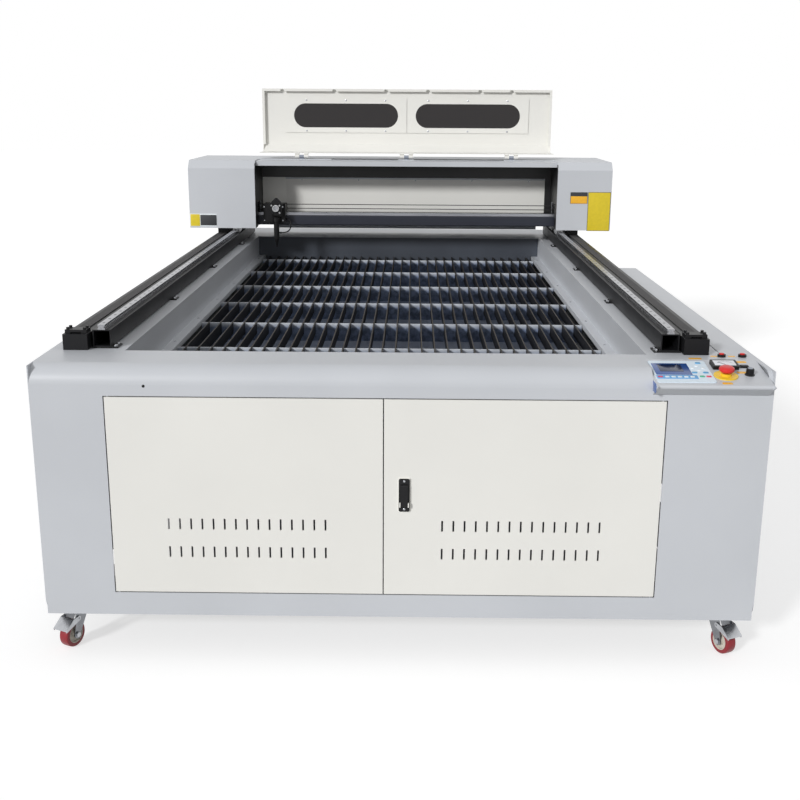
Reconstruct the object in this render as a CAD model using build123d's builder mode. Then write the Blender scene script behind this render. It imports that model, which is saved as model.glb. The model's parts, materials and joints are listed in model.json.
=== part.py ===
from build123d import *
import math
import os

# Flat-bed gantry laser cutting machine, in millimetres.
# X runs to the right, Y to the back and Z up. The origin lies on the floor,
# under the middle of the whole machine.

# Whole machine
body_depth = 3290.0
body_half_width = 922.0
side_cabinet_width = 86.0
side_cabinet_depth = 1850.0
body_bottom = 120.0
body_top = 818.0
nose_radius = 48.5
sheet = 3.0
work_x = -10.0
fit_gap = 0.3
running_gap = 0.05

# Console wedge that stands out of the nose at the right
console_reach = 56.0
console_inset = 13.0
console_width = 299.0
console_back = 132.0
console_tip_drop = 29.0
console_foot_drop = 63.0
console_tip_radius = 6.0

# Doors in the front panel
door_bottom = 188.0
door_top = 736.0
door_left_inset = 195.0
door_right_inset = 188.0
door_gap = 3.0
door_split_offset = 4.2
door_depth = 20.0
vent_count = 15
vent_pitch = 30.0
vent_width = 5.0
vent_height = 31.0
vent_rows = (386.0, 306.0)
pivot_inset = 8.0
pivot_depth = 7.0
pivot_radius = 3.5
pivot_reach = 10.0
pivot_plate = 4.0
latch_width = 29.0
latch_height = 92.0
latch_z = 475.0
latch_offset = 54.0
latch_plate_depth = 5.0
handle_width = 19.0
handle_height = 60.0
handle_depth = 8.0
handle_pin_radius = 2.5
handle_ear = 3.0
handle_ear_height = 12.0

# Blade bed
bed_front = 191.0
rear_deck_depth = 397.0
deck_width = 208.0
bed_wall_bottom = 640.0
strip_z = 724.0
strip_width = 33.0
strip_lip = 18.0
blade_pitch = 42.0
blade_side_gap = 20.0
blade_thickness = 4.0
blade_height = 40.0
blade_top = 720.0
blade_end_gap = 8.0
support_first = 282.0
support_pitch = 413.0
support_thickness = 6.0
support_height = 63.0
support_drop = 2.0
support_end_gap = 80.0
notch_clearance = 0.6
ledge_leg = 60.0
ledge_thickness = 5.0
tray_z = 600.0
tray_rim = 30.0

# Frame tubes
tube = 60.0
tube_wall = 3.0
cross_tube = 40.0
frame_front = 90.0
frame_rear_gap = 120.0
frame_bays = 3
weld_gap = 0.4

# Rails and belts along the sides
rail_inset = 139.0
rail_tube_width = 50.0
rail_tube_height = 48.0
rail_front = 215.0
rail_rear_gap = 210.0
foot_thickness = 4.0
foot_inner_reach = 43.0
foot_outer_reach = 31.0
foot_depth = 50.0
foot_pitch = 775.0
guide_width = 20.0
guide_waist = 14.0
guide_height = 14.0
channel_spacing = 67.0
channel_width = 60.0
channel_height = 44.0
belt_width = 30.0
belt_thickness = 3.0
clamp_width = 68.0
clamp_depth = 64.0
clamp_front = 189.0
clamp_plate_depth = 40.0
clamp_plate_inset = 4.0
clamp_screw_inset = 7.0
clamp_plate = 7.0
clamp_screw_radius = 4.5
clamp_screw_head = 6.0

# Gantry
gantry_rear_gap = 190.0
gantry_depth = 520.0
gantry_half_width = 1010.0
cover_bottom = 893.0
cover_top = 1212.0
cover_chamfer = 37.0
cover_bend = 9.0
left_opening_inset = 100.0
right_opening_inset = 21.0
hood_lip_setback = 42.0
hood_lip_height = 22.0
hood_skirt = 53.0
hood_skirt_inset = 40.0
lid_recess = 3.5
partition_setback = 270.0
panel_bottom = 949.0
panel_top = 1119.0
panel_left_gap = 120.0
panel_right_gap = 31.0
panel_thickness = 2.0
panel_standoff = 6.0
beam_window_front = 85.0
beam_window_depth = 130.0
beam_window_top = 1010.0
end_plate = 6.0
end_plate_reach = 40.0
block_height = 24.0
block_width = 34.0
block_length = 62.0
block_setbacks = (75.0, 255.0)
beam_front = 100.0
beam_depth = 100.0
beam_height = 47.0
beam_wall = 4.0
beam_reach = 40.0
x_guide_setback = 125.0
x_guide_height = 12.0
x_belt_setback = 170.0
x_belt_low = 974.0
x_belt_pitch_radius = 10.0
x_belt_thickness = 2.4
x_belt_width = 15.0
x_belt_reach = 36.0
motor_size = 57.0
motor_length = 60.0
drive_width = 52.0
drive_setback = 60.0
belt_running_gap = 0.6
saddle_width = 80.0
saddle_thickness = 20.0
laser_tube_radius = 30.0
laser_tube_end_gap = 72.5
laser_tube_setback = 400.0
laser_tube_z = 1050.0

# Lid over the gantry opening, which stands open at rest
hinge_setback = 175.0
hinge_z = 1226.0
hinge_pin_radius = 4.0
hinge_knuckle_radius = 7.0
hinge_width = 66.0
hinge_spread = 513.0
lid_bottom = 906.0
lid_side_gap = 3.0
lid_return = 22.0
lid_lip = 12.0
lid_notch_radius = 10.0
lid_notches = (-620.0, -362.0, -104.0, 104.0, 362.0, 519.0)
window_offset = 304.0
window_length = 520.0
window_height = 116.0
window_frame_length = 606.0
window_frame_height = 166.0
window_z = 1034.0
window_frame_thickness = 2.0
pane_thickness = 2.0
pane_inset = 4.0

# Carriage with the head
carriage_park = 84.0
carriage_width = 106.0
carriage_front = 56.0
carriage_back = 150.0
carriage_nose_back = 95.0
carriage_bottom = 918.0
carriage_top = 1003.0
carriage_skirt = 949.5
clamp_arm = 4.5
head_offset = 11.0
head_setback = 41.0
lens_radius = 13.0
lens_top = 940.0
holder_radius = 18.0
holder_bottom = 920.0
holder_top = 942.0
nozzle_top_z = 836.0
nozzle_tip_z = 798.0
nozzle_tip_radius = 3.0
nozzle_root_radius = 10.0
hose_port_z = 868.0
hose_port_length = 12.0
hose_port_radius = 4.0
hose_radius = 3.0
hose_bend = 24.0
hose_reach = 26.0
hose_root_setback = 66.0
hose_root_z = 935.0
mirror_width = 58.0
mirror_depth = 29.5
mirror_bottom = 952.0
mirror_top = 1034.0
mirror_chamfer = 26.0
mirror_screw_radius = 3.5
mirror_screw_inset = 10.0
mirror_screw_length = 8.0

# Controls on the console
keypad_width = 150.0
keypad_depth = 146.0
keypad_inset = 6.0
keypad_slope = 87.0
keypad_corner = 6.0
keypad_thickness = 2.0
meter_width = 68.0
meter_depth = 48.0
meter_inset = 97.0
meter_height = 10.0
meter_corner = 3.0
meter_slope = 46.0
stop_inset = 109.0
stop_slope = 113.0
stop_ring_radius = 31.0
stop_ring_thickness = 3.0
stop_collar_radius = 14.0
stop_collar_height = 9.0
stop_cap_radius = 20.0
stop_cap_height = 14.0
stop_cap_round = 4.0
stop_stem_radius = 8.0
stop_travel = 4.0
knob_inset = 45.0
knob_slope = 103.0
knob_radius = 10.0
knob_height = 18.0
knob_shaft_radius = 3.0
knob_collar_radius = 6.0
knob_collar_height = 4.0
knob_edge = 1.5
rocker_inset = 45.0
rocker_slope = 48.0
rocker_width = 16.4
rocker_depth = 11.0
rocker_height = 8.0
rocker_pin_radius = 1.0
rocker_pin_length = 1.2
rocker_end_room = 1.0
rocker_wall = 1.8
rocker_flange = 1.5
rocker_flange_height = 2.0
rocker_sleeve = 8.0
button_insets = (81.0, 25.0)
button_setback = 172.0
button_radius = 7.0
button_edge = 1.0
bezel_radius = 11.0
bezel_height = 7.0
button_travel = 3.0

# Casters
caster_plate = 6.0
caster_plate_size = 100.0
caster_x_inset = 62.0
cabinet_caster_inset = 72.0
caster_y_inset = 76.0
caster_trail = 30.0
caster_toe_out = 25.0
kingpin_radius = 8.0
kingpin_length = 10.0
wheel_radius = 37.5
wheel_width = 30.0
axle_radius = 6.0
wheel_edge = 4.0
fork_gap = 1.5
fork_plate = 4.0
fork_head = 6.0
fork_head_radius = 32.0
fork_back = 24.0
fork_front = 28.0
fork_eye_radius = 12.0
pedal_pin_radius = 3.0
pedal_pin_u = 24.0
pedal_pin_z = 84.0
pedal_arm_radius = 7.0
pedal_plate_u = (46.0, 76.0)
pedal_plate_z = (86.0, 64.0)
pedal_sheet = 3.0

# Places worked out from the driving sizes
total_depth = body_depth + console_reach
front_y = console_reach - total_depth / 2
rear_y = front_y + body_depth
left_x = work_x - body_half_width
right_x = work_x + body_half_width
cabinet_x = right_x + side_cabinet_width
console_right = cabinet_x - console_inset
console_left = console_right - console_width
keypad_left = console_left + keypad_inset
meter_x = console_right - meter_inset
stop_x = console_right - stop_inset
knob_x = console_right - knob_inset
rocker_x = console_right - rocker_inset
button_x = [console_right - inset for inset in button_insets]
door_left = left_x + door_left_inset
door_right = right_x - door_right_inset
bed_half_width = body_half_width - deck_width
bed_back = body_depth - rear_deck_depth
rail_offset = body_half_width - rail_inset
rail_length = body_depth - rail_front - rail_rear_gap
channel_offset = rail_offset + channel_spacing
beam_half_length = rail_offset + beam_reach
end_plate_outer = channel_offset + end_plate_reach
support_top = blade_top - support_drop
support_bottom = support_top - support_height
mid_plane = Plane.YZ.offset(work_x)
front_plane = Plane.XZ.offset(-front_y)
gantry_y = rear_y - gantry_rear_gap - gantry_depth
gantry_back = gantry_y + gantry_depth
opening_left = work_x - rail_offset + left_opening_inset
opening_right = work_x + rail_offset - right_opening_inset
left_cover_width = gantry_half_width + opening_left
right_cover_width = gantry_half_width - opening_right
opening_mid = (opening_left + opening_right) / 2
opening_width = opening_right - opening_left
rail_base_z = body_top + foot_thickness
guide_base_z = rail_base_z + rail_tube_height
guide_top_z = guide_base_z + guide_height
block_top_z = guide_base_z + block_height
plate_top_z = block_top_z + end_plate
beam_top_z = plate_top_z + beam_height
x_guide_top_z = beam_top_z + x_guide_height
belt_z = body_top + channel_height
carriage_x = opening_left + carriage_park
head_x = carriage_x + head_offset


def behind(setback):
    """Vertical plane that faces the front, at a distance behind the front face."""
    return Plane.XZ.offset(-(front_y + setback))


def finish(node, name):
    """Label a finished sub-part and write it."""
    node.part.label = name
    export_step(node.part, "parts/" + name + ".step")


def nose_points(inset):
    """Corners of the nose outline, set in from the outer skin."""
    return [
        (front_y + inset, body_bottom),
        (front_y + inset, body_top - inset),
        (front_y + bed_front, body_top - inset),
    ]


# Console slope: its plane has the origin at the back edge and its Y axis up the slope.
console_back_y = front_y + console_back
slope_run = console_back + console_reach
slope_length = math.hypot(slope_run, console_tip_drop)
slope_normal = (0, -console_tip_drop / slope_length, slope_run / slope_length)
console_plane = Plane(origin=(0, console_back_y, body_top), x_dir=(1, 0, 0), z_dir=slope_normal)

console_outline = [
    (console_back_y, body_top),
    (front_y - console_reach, body_top - console_tip_drop),
    (front_y, body_top - console_foot_drop),
]

os.makedirs("parts", exist_ok=True)


# Front panel: one folded sheet with a rounded nose and the strip in front of the bed
with BuildPart() as front_panel:
    with BuildSketch(Plane.YZ.offset(left_x + sheet)):
        with BuildLine():
            outer = FilletPolyline(*nose_points(0), radius=nose_radius)
            inner = FilletPolyline(*nose_points(sheet), radius=nose_radius - sheet)
            Line(outer @ 0, inner @ 0)
            Line(outer @ 1, inner @ 1)
        make_face()
    extrude(amount=cabinet_x - left_x - 2 * sheet)
    with BuildSketch(front_plane):
        with Locations(((door_left + door_right) / 2, (door_bottom + door_top) / 2)):
            Rectangle(door_right - door_left + 2 * door_gap, door_top - door_bottom + 2 * door_gap)
    extrude(amount=-nose_radius, mode=Mode.SUBTRACT)
    with BuildSketch(Plane.YZ.offset(console_left - fit_gap)):
        with Locations((console_back_y + 2 * fit_gap, body_top - console_foot_drop - fit_gap)):
            Rectangle(slope_run + 2, console_foot_drop + 1, align=(Align.MAX, Align.MIN))
    extrude(amount=console_right - console_left + 2 * fit_gap, mode=Mode.SUBTRACT)
finish(front_panel, "front_panel")


# Side panels: flat sheets cut to the outline of the nose
with BuildPart() as left_side_panel:
    with BuildSketch(Plane.YZ.offset(left_x)) as flank:
        with Locations((front_y, body_bottom)):
            Rectangle(body_depth, body_top - body_bottom, align=(Align.MIN, Align.MIN))
        fillet(flank.vertices().group_by(Axis.Y)[0].sort_by(Axis.Z)[-1], radius=nose_radius)
    extrude(amount=sheet)
finish(left_side_panel, "left_side_panel")

with BuildPart() as right_side_panel:
    with BuildSketch(Plane.YZ.offset(right_x - sheet)):
        with Locations((front_y + side_cabinet_depth - sheet, body_bottom)):
            Rectangle(
                body_depth - side_cabinet_depth + sheet,
                body_top - body_bottom,
                align=(Align.MIN, Align.MIN),
            )
    extrude(amount=sheet)
finish(right_side_panel, "right_side_panel")

# Side cabinet: outer flank, top ledge and back wall
with BuildPart() as side_cabinet:
    with BuildSketch(Plane.YZ.offset(cabinet_x - sheet)) as flank:
        with Locations((front_y, body_bottom)):
            Rectangle(side_cabinet_depth, body_top - body_bottom, align=(Align.MIN, Align.MIN))
        fillet(flank.vertices().group_by(Axis.Y)[0].sort_by(Axis.Z)[-1], radius=nose_radius)
    extrude(amount=sheet)
    with BuildSketch(Plane.XY.offset(body_top - sheet)):
        with Locations((right_x, front_y + bed_front)):
            Rectangle(
                side_cabinet_width - sheet,
                side_cabinet_depth - bed_front,
                align=(Align.MIN, Align.MIN),
            )
    extrude(amount=sheet)
    with BuildSketch(behind(side_cabinet_depth)):
        with Locations((right_x, body_bottom)):
            Rectangle(side_cabinet_width, body_top - body_bottom, align=(Align.MIN, Align.MIN))
    extrude(amount=sheet)
finish(side_cabinet, "side_cabinet")

# Rear panel: folded over the top as the rear deck
with BuildPart() as rear_panel:
    with BuildSketch(Plane.YZ.offset(left_x + sheet)):
        with BuildLine():
            Polyline(
                (front_y + bed_back + sheet, body_top),
                (rear_y, body_top),
                (rear_y, body_bottom),
            )
            offset(amount=sheet, side=Side.RIGHT)
        make_face()
    extrude(amount=2 * (body_half_width - sheet))
finish(rear_panel, "rear_panel")


# Base frame: square tubes, each cut square and set a weld gap from its neighbour
def tube_run(start, run, across, high, length):
    """Hollow tube along one axis: start is the centre of its first end."""
    turn = (0, 1, 0) if run == (1, 0, 0) else (1, 0, 0)
    with BuildSketch(Plane(origin=start, x_dir=turn, z_dir=run)) as section:
        Rectangle(across, high)
        Rectangle(across - 2 * tube_wall, high - 2 * tube_wall, mode=Mode.SUBTRACT)
    extrude(section.sketch, amount=length)


bay_length = (body_depth - frame_front - frame_rear_gap) / frame_bays
frame_stations = [frame_front + bay * bay_length for bay in range(frame_bays + 1)]
post_offset = body_half_width - sheet - tube / 2
deck_tube_z = body_top - sheet - tube / 2
bracket_z = deck_tube_z - tube - weld_gap
post_top = bracket_z - tube / 2 - weld_gap
post_foot = body_bottom + tube + weld_gap
bracket_inner = bed_half_width + sheet + fit_gap + ledge_thickness + weld_gap
bracket_length = post_offset + tube / 2 - bracket_inner
deck_tube_length = body_depth - 2 * sheet - 2 * weld_gap
caster_top_z = body_bottom - weld_gap
caster_front_y = front_y + caster_y_inset
caster_rear_y = rear_y - caster_y_inset
caster_spots = [
    (left_x + caster_x_inset, caster_front_y),
    (cabinet_x - cabinet_caster_inset, caster_front_y),
    (left_x + caster_x_inset, caster_rear_y),
    (right_x - caster_x_inset, caster_rear_y),
]

with BuildPart() as base_frame:
    for side in (-1, 1):
        post_x = work_x + side * post_offset
        bracket_x = work_x + min(side * bracket_inner, side * (post_offset + tube / 2))
        for tube_x in (post_x, work_x + side * rail_offset):
            tube_start = (tube_x, front_y + bed_front + sheet, deck_tube_z)
            tube_run(tube_start, (0, 1, 0), tube, tube, deck_tube_length - bed_front)
        for station in frame_stations:
            station_y = front_y + station
            tube_run((post_x, station_y, post_foot), (0, 0, 1), tube, tube, post_top - post_foot)
            if station > bed_front:
                bracket_start = (bracket_x, station_y, bracket_z)
                tube_run(bracket_start, (1, 0, 0), tube, tube, bracket_length)
        for first, second in zip(frame_stations, frame_stations[1:]):
            run_start = (post_x, front_y + first + tube / 2 + weld_gap, body_bottom + tube / 2)
            tube_run(run_start, (0, 1, 0), tube, tube, second - first - tube - 2 * weld_gap)
    for station in frame_stations:
        cross_half = post_offset + tube / 2
        cross_start = (work_x - cross_half, front_y + station, body_bottom + tube / 2)
        tube_run(cross_start, (1, 0, 0), tube, tube, 2 * cross_half)
        rest_half = post_offset - tube / 2 - weld_gap
        rest_start = (work_x - rest_half, front_y + station, tray_z - cross_tube / 2)
        tube_run(rest_start, (1, 0, 0), cross_tube, cross_tube, 2 * rest_half)
    outrigger_x = work_x + cross_half + weld_gap
    outrigger_start = (outrigger_x, front_y + frame_stations[0], body_bottom + tube / 2)
    tube_run(outrigger_start, (1, 0, 0), tube, tube, side_cabinet_width - 2 * weld_gap)
    # Angle bars that carry the ends of the support bars
    for side in (-1, 1):
        ledge_x = work_x + side * (bed_half_width + sheet + fit_gap)
        with BuildSketch(behind(bed_front + sheet + weld_gap)) as ledge:
            with BuildLine():
                Polyline(
                    (ledge_x, bracket_z + tube / 2),
                    (ledge_x, support_bottom),
                    (ledge_x - side * ledge_leg, support_bottom),
                )
                offset(amount=ledge_thickness, side=Side.LEFT if side > 0 else Side.RIGHT)
            make_face()
        extrude(ledge.sketch, amount=-(bed_back - bed_front - sheet - 2 * weld_gap))
    # Top plates of the casters with their kingpins
    for caster_x, caster_y in caster_spots:
        with BuildSketch(Plane.XY.offset(caster_top_z - caster_plate)) as top_plate:
            with Locations((caster_x, caster_y)):
                Rectangle(caster_plate_size, caster_plate_size)
        extrude(top_plate.sketch, amount=caster_plate)
        with BuildSketch(Plane.XY.offset(caster_top_z - caster_plate)) as kingpin:
            with Locations((caster_x, caster_y)):
                Circle(kingpin_radius)
        extrude(kingpin.sketch, amount=-kingpin_length)
finish(base_frame, "base_frame")


# Bed walls: a folded deck, wall, strip and lip on each side, and a plain wall at each end
with BuildPart() as bed_walls:
    with BuildSketch(behind(bed_front)) as folds:
        with BuildLine():
            Polyline(
                (right_x - sheet, body_top),
                (work_x + bed_half_width, body_top),
                (work_x + bed_half_width, strip_z),
                (work_x + bed_half_width - strip_width, strip_z),
                (work_x + bed_half_width - strip_width, strip_z - strip_lip),
            )
            offset(amount=sheet, side=Side.LEFT)
        make_face()
    extrude(amount=-(bed_back + sheet - bed_front))
    mirror(about=mid_plane)
    for wall_start in (bed_front, bed_back):
        with BuildSketch(behind(wall_start + sheet)) as wall:
            with Locations((work_x, strip_z + fit_gap)):
                Rectangle(
                    2 * (bed_half_width - fit_gap),
                    body_top - sheet - fit_gap - strip_z,
                    align=(Align.CENTER, Align.MIN),
                )
            with Locations((work_x, bed_wall_bottom)):
                Rectangle(
                    2 * (bed_half_width - strip_width - sheet - fit_gap),
                    strip_z + fit_gap - bed_wall_bottom,
                    align=(Align.CENTER, Align.MIN),
                )
        extrude(amount=sheet)
finish(bed_walls, "bed_walls")

# Support bars: cross bars with a notch for every blade
notch_floor = blade_top - blade_height
support_half = bed_half_width - strip_width - sheet - fit_gap
blade_room = 2 * (bed_half_width - strip_width - sheet - blade_side_gap)
blade_count = int(blade_room // blade_pitch) + 1
support_room = bed_back - support_first - support_end_gap
support_count = int(support_room // support_pitch) + 1
with BuildPart() as support_bars:
    for index in range(support_count):
        bar_setback = support_first + index * support_pitch - support_thickness / 2
        with BuildSketch(behind(bar_setback)) as bar:
            with Locations((work_x, support_bottom)):
                Rectangle(
                    2 * support_half, support_top - support_bottom, align=(Align.CENTER, Align.MIN)
                )
            with Locations((work_x, notch_floor)):
                with GridLocations(blade_pitch, 1, blade_count, 1):
                    Rectangle(
                        blade_thickness + notch_clearance,
                        blade_height,
                        align=(Align.CENTER, Align.MIN),
                        mode=Mode.SUBTRACT,
                    )
        extrude(amount=-support_thickness)
finish(support_bars, "support_bars")

# Blades: upright flat bars that stand in the notches
with BuildPart() as bed_blades:
    with BuildSketch(behind(bed_front + sheet + blade_end_gap)):
        with Locations((work_x, notch_floor)):
            with GridLocations(blade_pitch, 1, blade_count, 1):
                Rectangle(blade_thickness, blade_height, align=(Align.CENTER, Align.MIN))
    extrude(amount=-(bed_back - bed_front - sheet - 2 * blade_end_gap))
finish(bed_blades, "bed_blades")

# Dust tray: a shallow pan on the cross tubes under the bed
tray_half = bed_half_width - fit_gap
with BuildPart() as dust_tray:
    with BuildSketch(Plane.XY.offset(tray_z)):
        with Locations((work_x, front_y + bed_front)):
            Rectangle(2 * tray_half, bed_back - bed_front, align=(Align.CENTER, Align.MIN))
    extrude(amount=tray_rim)
    offset(amount=-sheet, openings=dust_tray.faces().sort_by(Axis.Z)[-1])
finish(dust_tray, "dust_tray")


# Rail beams: square tubes on welded feet
with BuildPart() as rail_beams:
    with BuildSketch(behind(rail_front)):
        with Locations((work_x + rail_offset, rail_base_z + rail_tube_height / 2)):
            Rectangle(rail_tube_width, rail_tube_height)
            Rectangle(
                rail_tube_width - 2 * tube_wall,
                rail_tube_height - 2 * tube_wall,
                mode=Mode.SUBTRACT,
            )
    extrude(amount=-rail_length)
    with BuildSketch(Plane.XY.offset(body_top)):
        for index in range(int((rail_length - foot_depth) // foot_pitch) + 1):
            foot_y = front_y + rail_front + index * foot_pitch
            with Locations((work_x + rail_offset - foot_inner_reach, foot_y)):
                Rectangle(
                    foot_inner_reach + foot_outer_reach, foot_depth, align=(Align.MIN, Align.MIN)
                )
    extrude(amount=foot_thickness)
    mirror(about=mid_plane)
finish(rail_beams, "rail_beams")

# Guide rails: waisted steel rails on the beams
with BuildPart() as guide_rails:
    with BuildSketch(behind(rail_front)):
        with Locations((work_x + rail_offset, guide_base_z + guide_height / 2)):
            Rectangle(guide_waist, guide_height)
        for low in (guide_base_z, guide_top_z - guide_height / 3):
            with Locations((work_x + rail_offset, low)):
                Rectangle(guide_width, guide_height / 3, align=(Align.CENTER, Align.MIN))
    extrude(amount=-rail_length)
    mirror(about=mid_plane)
finish(guide_rails, "guide_rails")

# Belt channels: boxes beside the rails that carry the toothed belts
channel_front = clamp_front + clamp_depth
channel_end = rail_front + rail_length - clamp_depth
with BuildPart() as belt_channels:
    with BuildSketch(behind(channel_front)):
        with Locations((work_x + channel_offset, body_top + channel_height / 2)):
            Rectangle(channel_width, channel_height)
            Rectangle(
                channel_width - 2 * tube_wall, channel_height - 2 * tube_wall, mode=Mode.SUBTRACT
            )
    extrude(amount=-(channel_end - channel_front))
    mirror(about=mid_plane)
finish(belt_channels, "belt_channels")

# Drive belts: each lies along its channel from clamp to clamp
belt_inset = clamp_depth / 2
with BuildPart() as drive_belts:
    with BuildSketch(behind(clamp_front + belt_inset)):
        with Locations((work_x + channel_offset, belt_z)):
            Rectangle(belt_width, belt_thickness, align=(Align.CENTER, Align.MIN))
    extrude(amount=-(channel_end - clamp_front))
    mirror(about=mid_plane)
finish(drive_belts, "drive_belts")

# Belt clamps: a block at each belt end with a screwed plate over the belt
with BuildPart() as belt_clamps:
    for block_front in (clamp_front, channel_end):
        block_mid_y = front_y + block_front + clamp_depth / 2
        with BuildSketch(Plane.XY.offset(body_top)) as block:
            with Locations((work_x + channel_offset, block_mid_y)):
                Rectangle(clamp_width, clamp_depth)
        extrude(block.sketch, amount=channel_height)
        with BuildSketch(Plane.XY.offset(belt_z)) as plate:
            with Locations((work_x + channel_offset, block_mid_y)):
                Rectangle(clamp_width - 2 * clamp_plate_inset, clamp_plate_depth)
        extrude(plate.sketch, amount=belt_thickness + fit_gap + clamp_plate)
        with BuildSketch(Plane.XY.offset(belt_z)) as belt_slot:
            with Locations((work_x + channel_offset, block_mid_y)):
                Rectangle(belt_width + 2 * fit_gap, clamp_depth + 2)
        extrude(belt_slot.sketch, amount=belt_thickness + fit_gap, mode=Mode.SUBTRACT)
        plate_top = belt_z + belt_thickness + fit_gap + clamp_plate
        with BuildSketch(Plane.XY.offset(plate_top)) as heads:
            with Locations((work_x + channel_offset, block_mid_y)):
                with GridLocations(
                    clamp_width - 2 * (clamp_plate_inset + clamp_screw_inset),
                    clamp_plate_depth - 2 * clamp_screw_inset,
                    2,
                    2,
                ):
                    Circle(clamp_screw_radius)
        extrude(heads.sketch, amount=clamp_screw_head)
    mirror(about=mid_plane)
finish(belt_clamps, "belt_clamps")


# Gantry covers: bent sheet boxes over each end, open below
def gantry_side(top, bottom, inset):
    """Side outline of a cover: straight front, chamfered top front edge, straight back."""
    return [
        (gantry_y + inset, bottom),
        (gantry_y + inset, top - cover_chamfer),
        (gantry_y + cover_chamfer, top - inset),
        (gantry_back - inset, top - inset),
        (gantry_back - inset, bottom),
    ]


def cover_box(outer_x, width):
    """Closed prism of one cover with softened bends along its long edges."""
    with BuildSketch(Plane.YZ.offset(outer_x)) as outline:
        with BuildLine():
            Polyline(*gantry_side(cover_top, cover_bottom, 0), close=True)
        make_face()
        fillet(outline.vertices().group_by(Axis.Z)[1:], radius=cover_bend)
    extrude(outline.sketch, amount=width)


def beam_window(wall_x):
    """Opening in the inner wall of a cover, where the beam passes through."""
    with BuildSketch(Plane.YZ.offset(wall_x - 1)) as window:
        with Locations((gantry_y + beam_window_front, cover_bottom)):
            Rectangle(
                beam_window_depth, beam_window_top - cover_bottom, align=(Align.MIN, Align.MIN)
            )
    extrude(window.sketch, amount=sheet + 2, mode=Mode.SUBTRACT)


with BuildPart() as left_cover:
    cover_box(-gantry_half_width, left_cover_width)
    offset(amount=-sheet, openings=left_cover.faces().sort_by(Axis.Z)[0])
    beam_window(opening_left - sheet)
finish(left_cover, "gantry_left_cover")

with BuildPart() as right_cover:
    cover_box(opening_right, right_cover_width)
    offset(amount=-sheet, openings=right_cover.faces().sort_by(Axis.Z)[0])
    beam_window(opening_right)
finish(right_cover, "gantry_right_cover")

# Hood: one folded sheet with the front lip, the recess for the lid, the back and the partition,
# and a skirt that hangs from the lower edge of its back
hood_front_z = cover_top - lid_recess
with BuildPart() as gantry_hood:
    with BuildSketch(Plane.YZ.offset(opening_left)):
        with BuildLine():
            Polyline(
                (gantry_y + hood_lip_setback, hood_front_z - hood_lip_height),
                (gantry_y + hood_lip_setback, hood_front_z),
                (gantry_y + hinge_setback, hood_front_z),
                (gantry_y + hinge_setback, cover_top),
                (gantry_back, cover_top),
                (gantry_back, cover_bottom),
                (gantry_y + partition_setback, cover_bottom),
                (gantry_y + partition_setback, hood_front_z - sheet - fit_gap),
            )
            offset(amount=sheet, side=Side.RIGHT)
        make_face()
    extrude(amount=opening_width)
    with BuildSketch(Plane.YZ.offset(opening_left + hood_skirt_inset)):
        with Locations((gantry_back, cover_bottom + sheet)):
            Rectangle(sheet, hood_skirt + sheet, align=Align.MAX)
    extrude(amount=opening_width - 2 * hood_skirt_inset)
finish(gantry_hood, "gantry_hood")

# Inner panel: pale sheet behind the beam, folded back to the partition at its top
panel_y = gantry_y + partition_setback - panel_standoff
with BuildPart() as inner_panel:
    with BuildSketch(Plane.YZ.offset(opening_left + panel_left_gap)):
        with BuildLine():
            Polyline(
                (panel_y, panel_bottom),
                (panel_y, panel_top),
                (panel_y + panel_standoff, panel_top),
            )
            offset(amount=panel_thickness, side=Side.RIGHT)
        make_face()
    extrude(amount=opening_width - panel_left_gap - panel_right_gap)
finish(inner_panel, "inner_panel")

# Beam: a flat hollow tube that rests on the end plates over both rails
with BuildPart() as x_beam:
    beam_plane = Plane(
        origin=(
            work_x - beam_half_length,
            gantry_y + beam_front + beam_depth / 2,
            plate_top_z + beam_height / 2,
        ),
        x_dir=(0, 1, 0),
        z_dir=(1, 0, 0),
    )
    with BuildSketch(beam_plane) as section:
        RectangleRounded(beam_depth, beam_height, beam_wall)
        Rectangle(beam_depth - 2 * beam_wall, beam_height - 2 * beam_wall, mode=Mode.SUBTRACT)
    extrude(amount=2 * beam_half_length)
finish(x_beam, "x_beam")

# Guide rail of the carriage, on top of the beam
x_guide_y = gantry_y + x_guide_setback
with BuildPart() as x_guide:
    with BuildSketch(Plane.YZ.offset(work_x - beam_half_length)):
        with Locations((x_guide_y, beam_top_z + x_guide_height / 2)):
            Rectangle(guide_waist, x_guide_height)
        for low in (beam_top_z, x_guide_top_z - x_guide_height / 3):
            with Locations((x_guide_y, low)):
                Rectangle(guide_width, x_guide_height / 3, align=(Align.CENTER, Align.MIN))
    extrude(amount=2 * beam_half_length)
finish(x_guide, "x_guide_rail")

# Carriage belt: a closed loop with one strand above the other
x_belt_y = gantry_y + x_belt_setback
x_belt_mid_z = x_belt_low + x_belt_pitch_radius
belt_left = opening_left - x_belt_reach
belt_right = opening_right + x_belt_reach
with BuildPart() as x_belt:
    with BuildSketch(Plane.XZ.offset(-(x_belt_y - x_belt_width / 2))):
        with Locations(((belt_left + belt_right) / 2, x_belt_mid_z)):
            SlotCenterToCenter(
                belt_right - belt_left, 2 * x_belt_pitch_radius + x_belt_thickness
            )
            SlotCenterToCenter(
                belt_right - belt_left,
                2 * x_belt_pitch_radius - x_belt_thickness,
                mode=Mode.SUBTRACT,
            )
    extrude(amount=-x_belt_width)
finish(x_belt, "x_belt")

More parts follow.
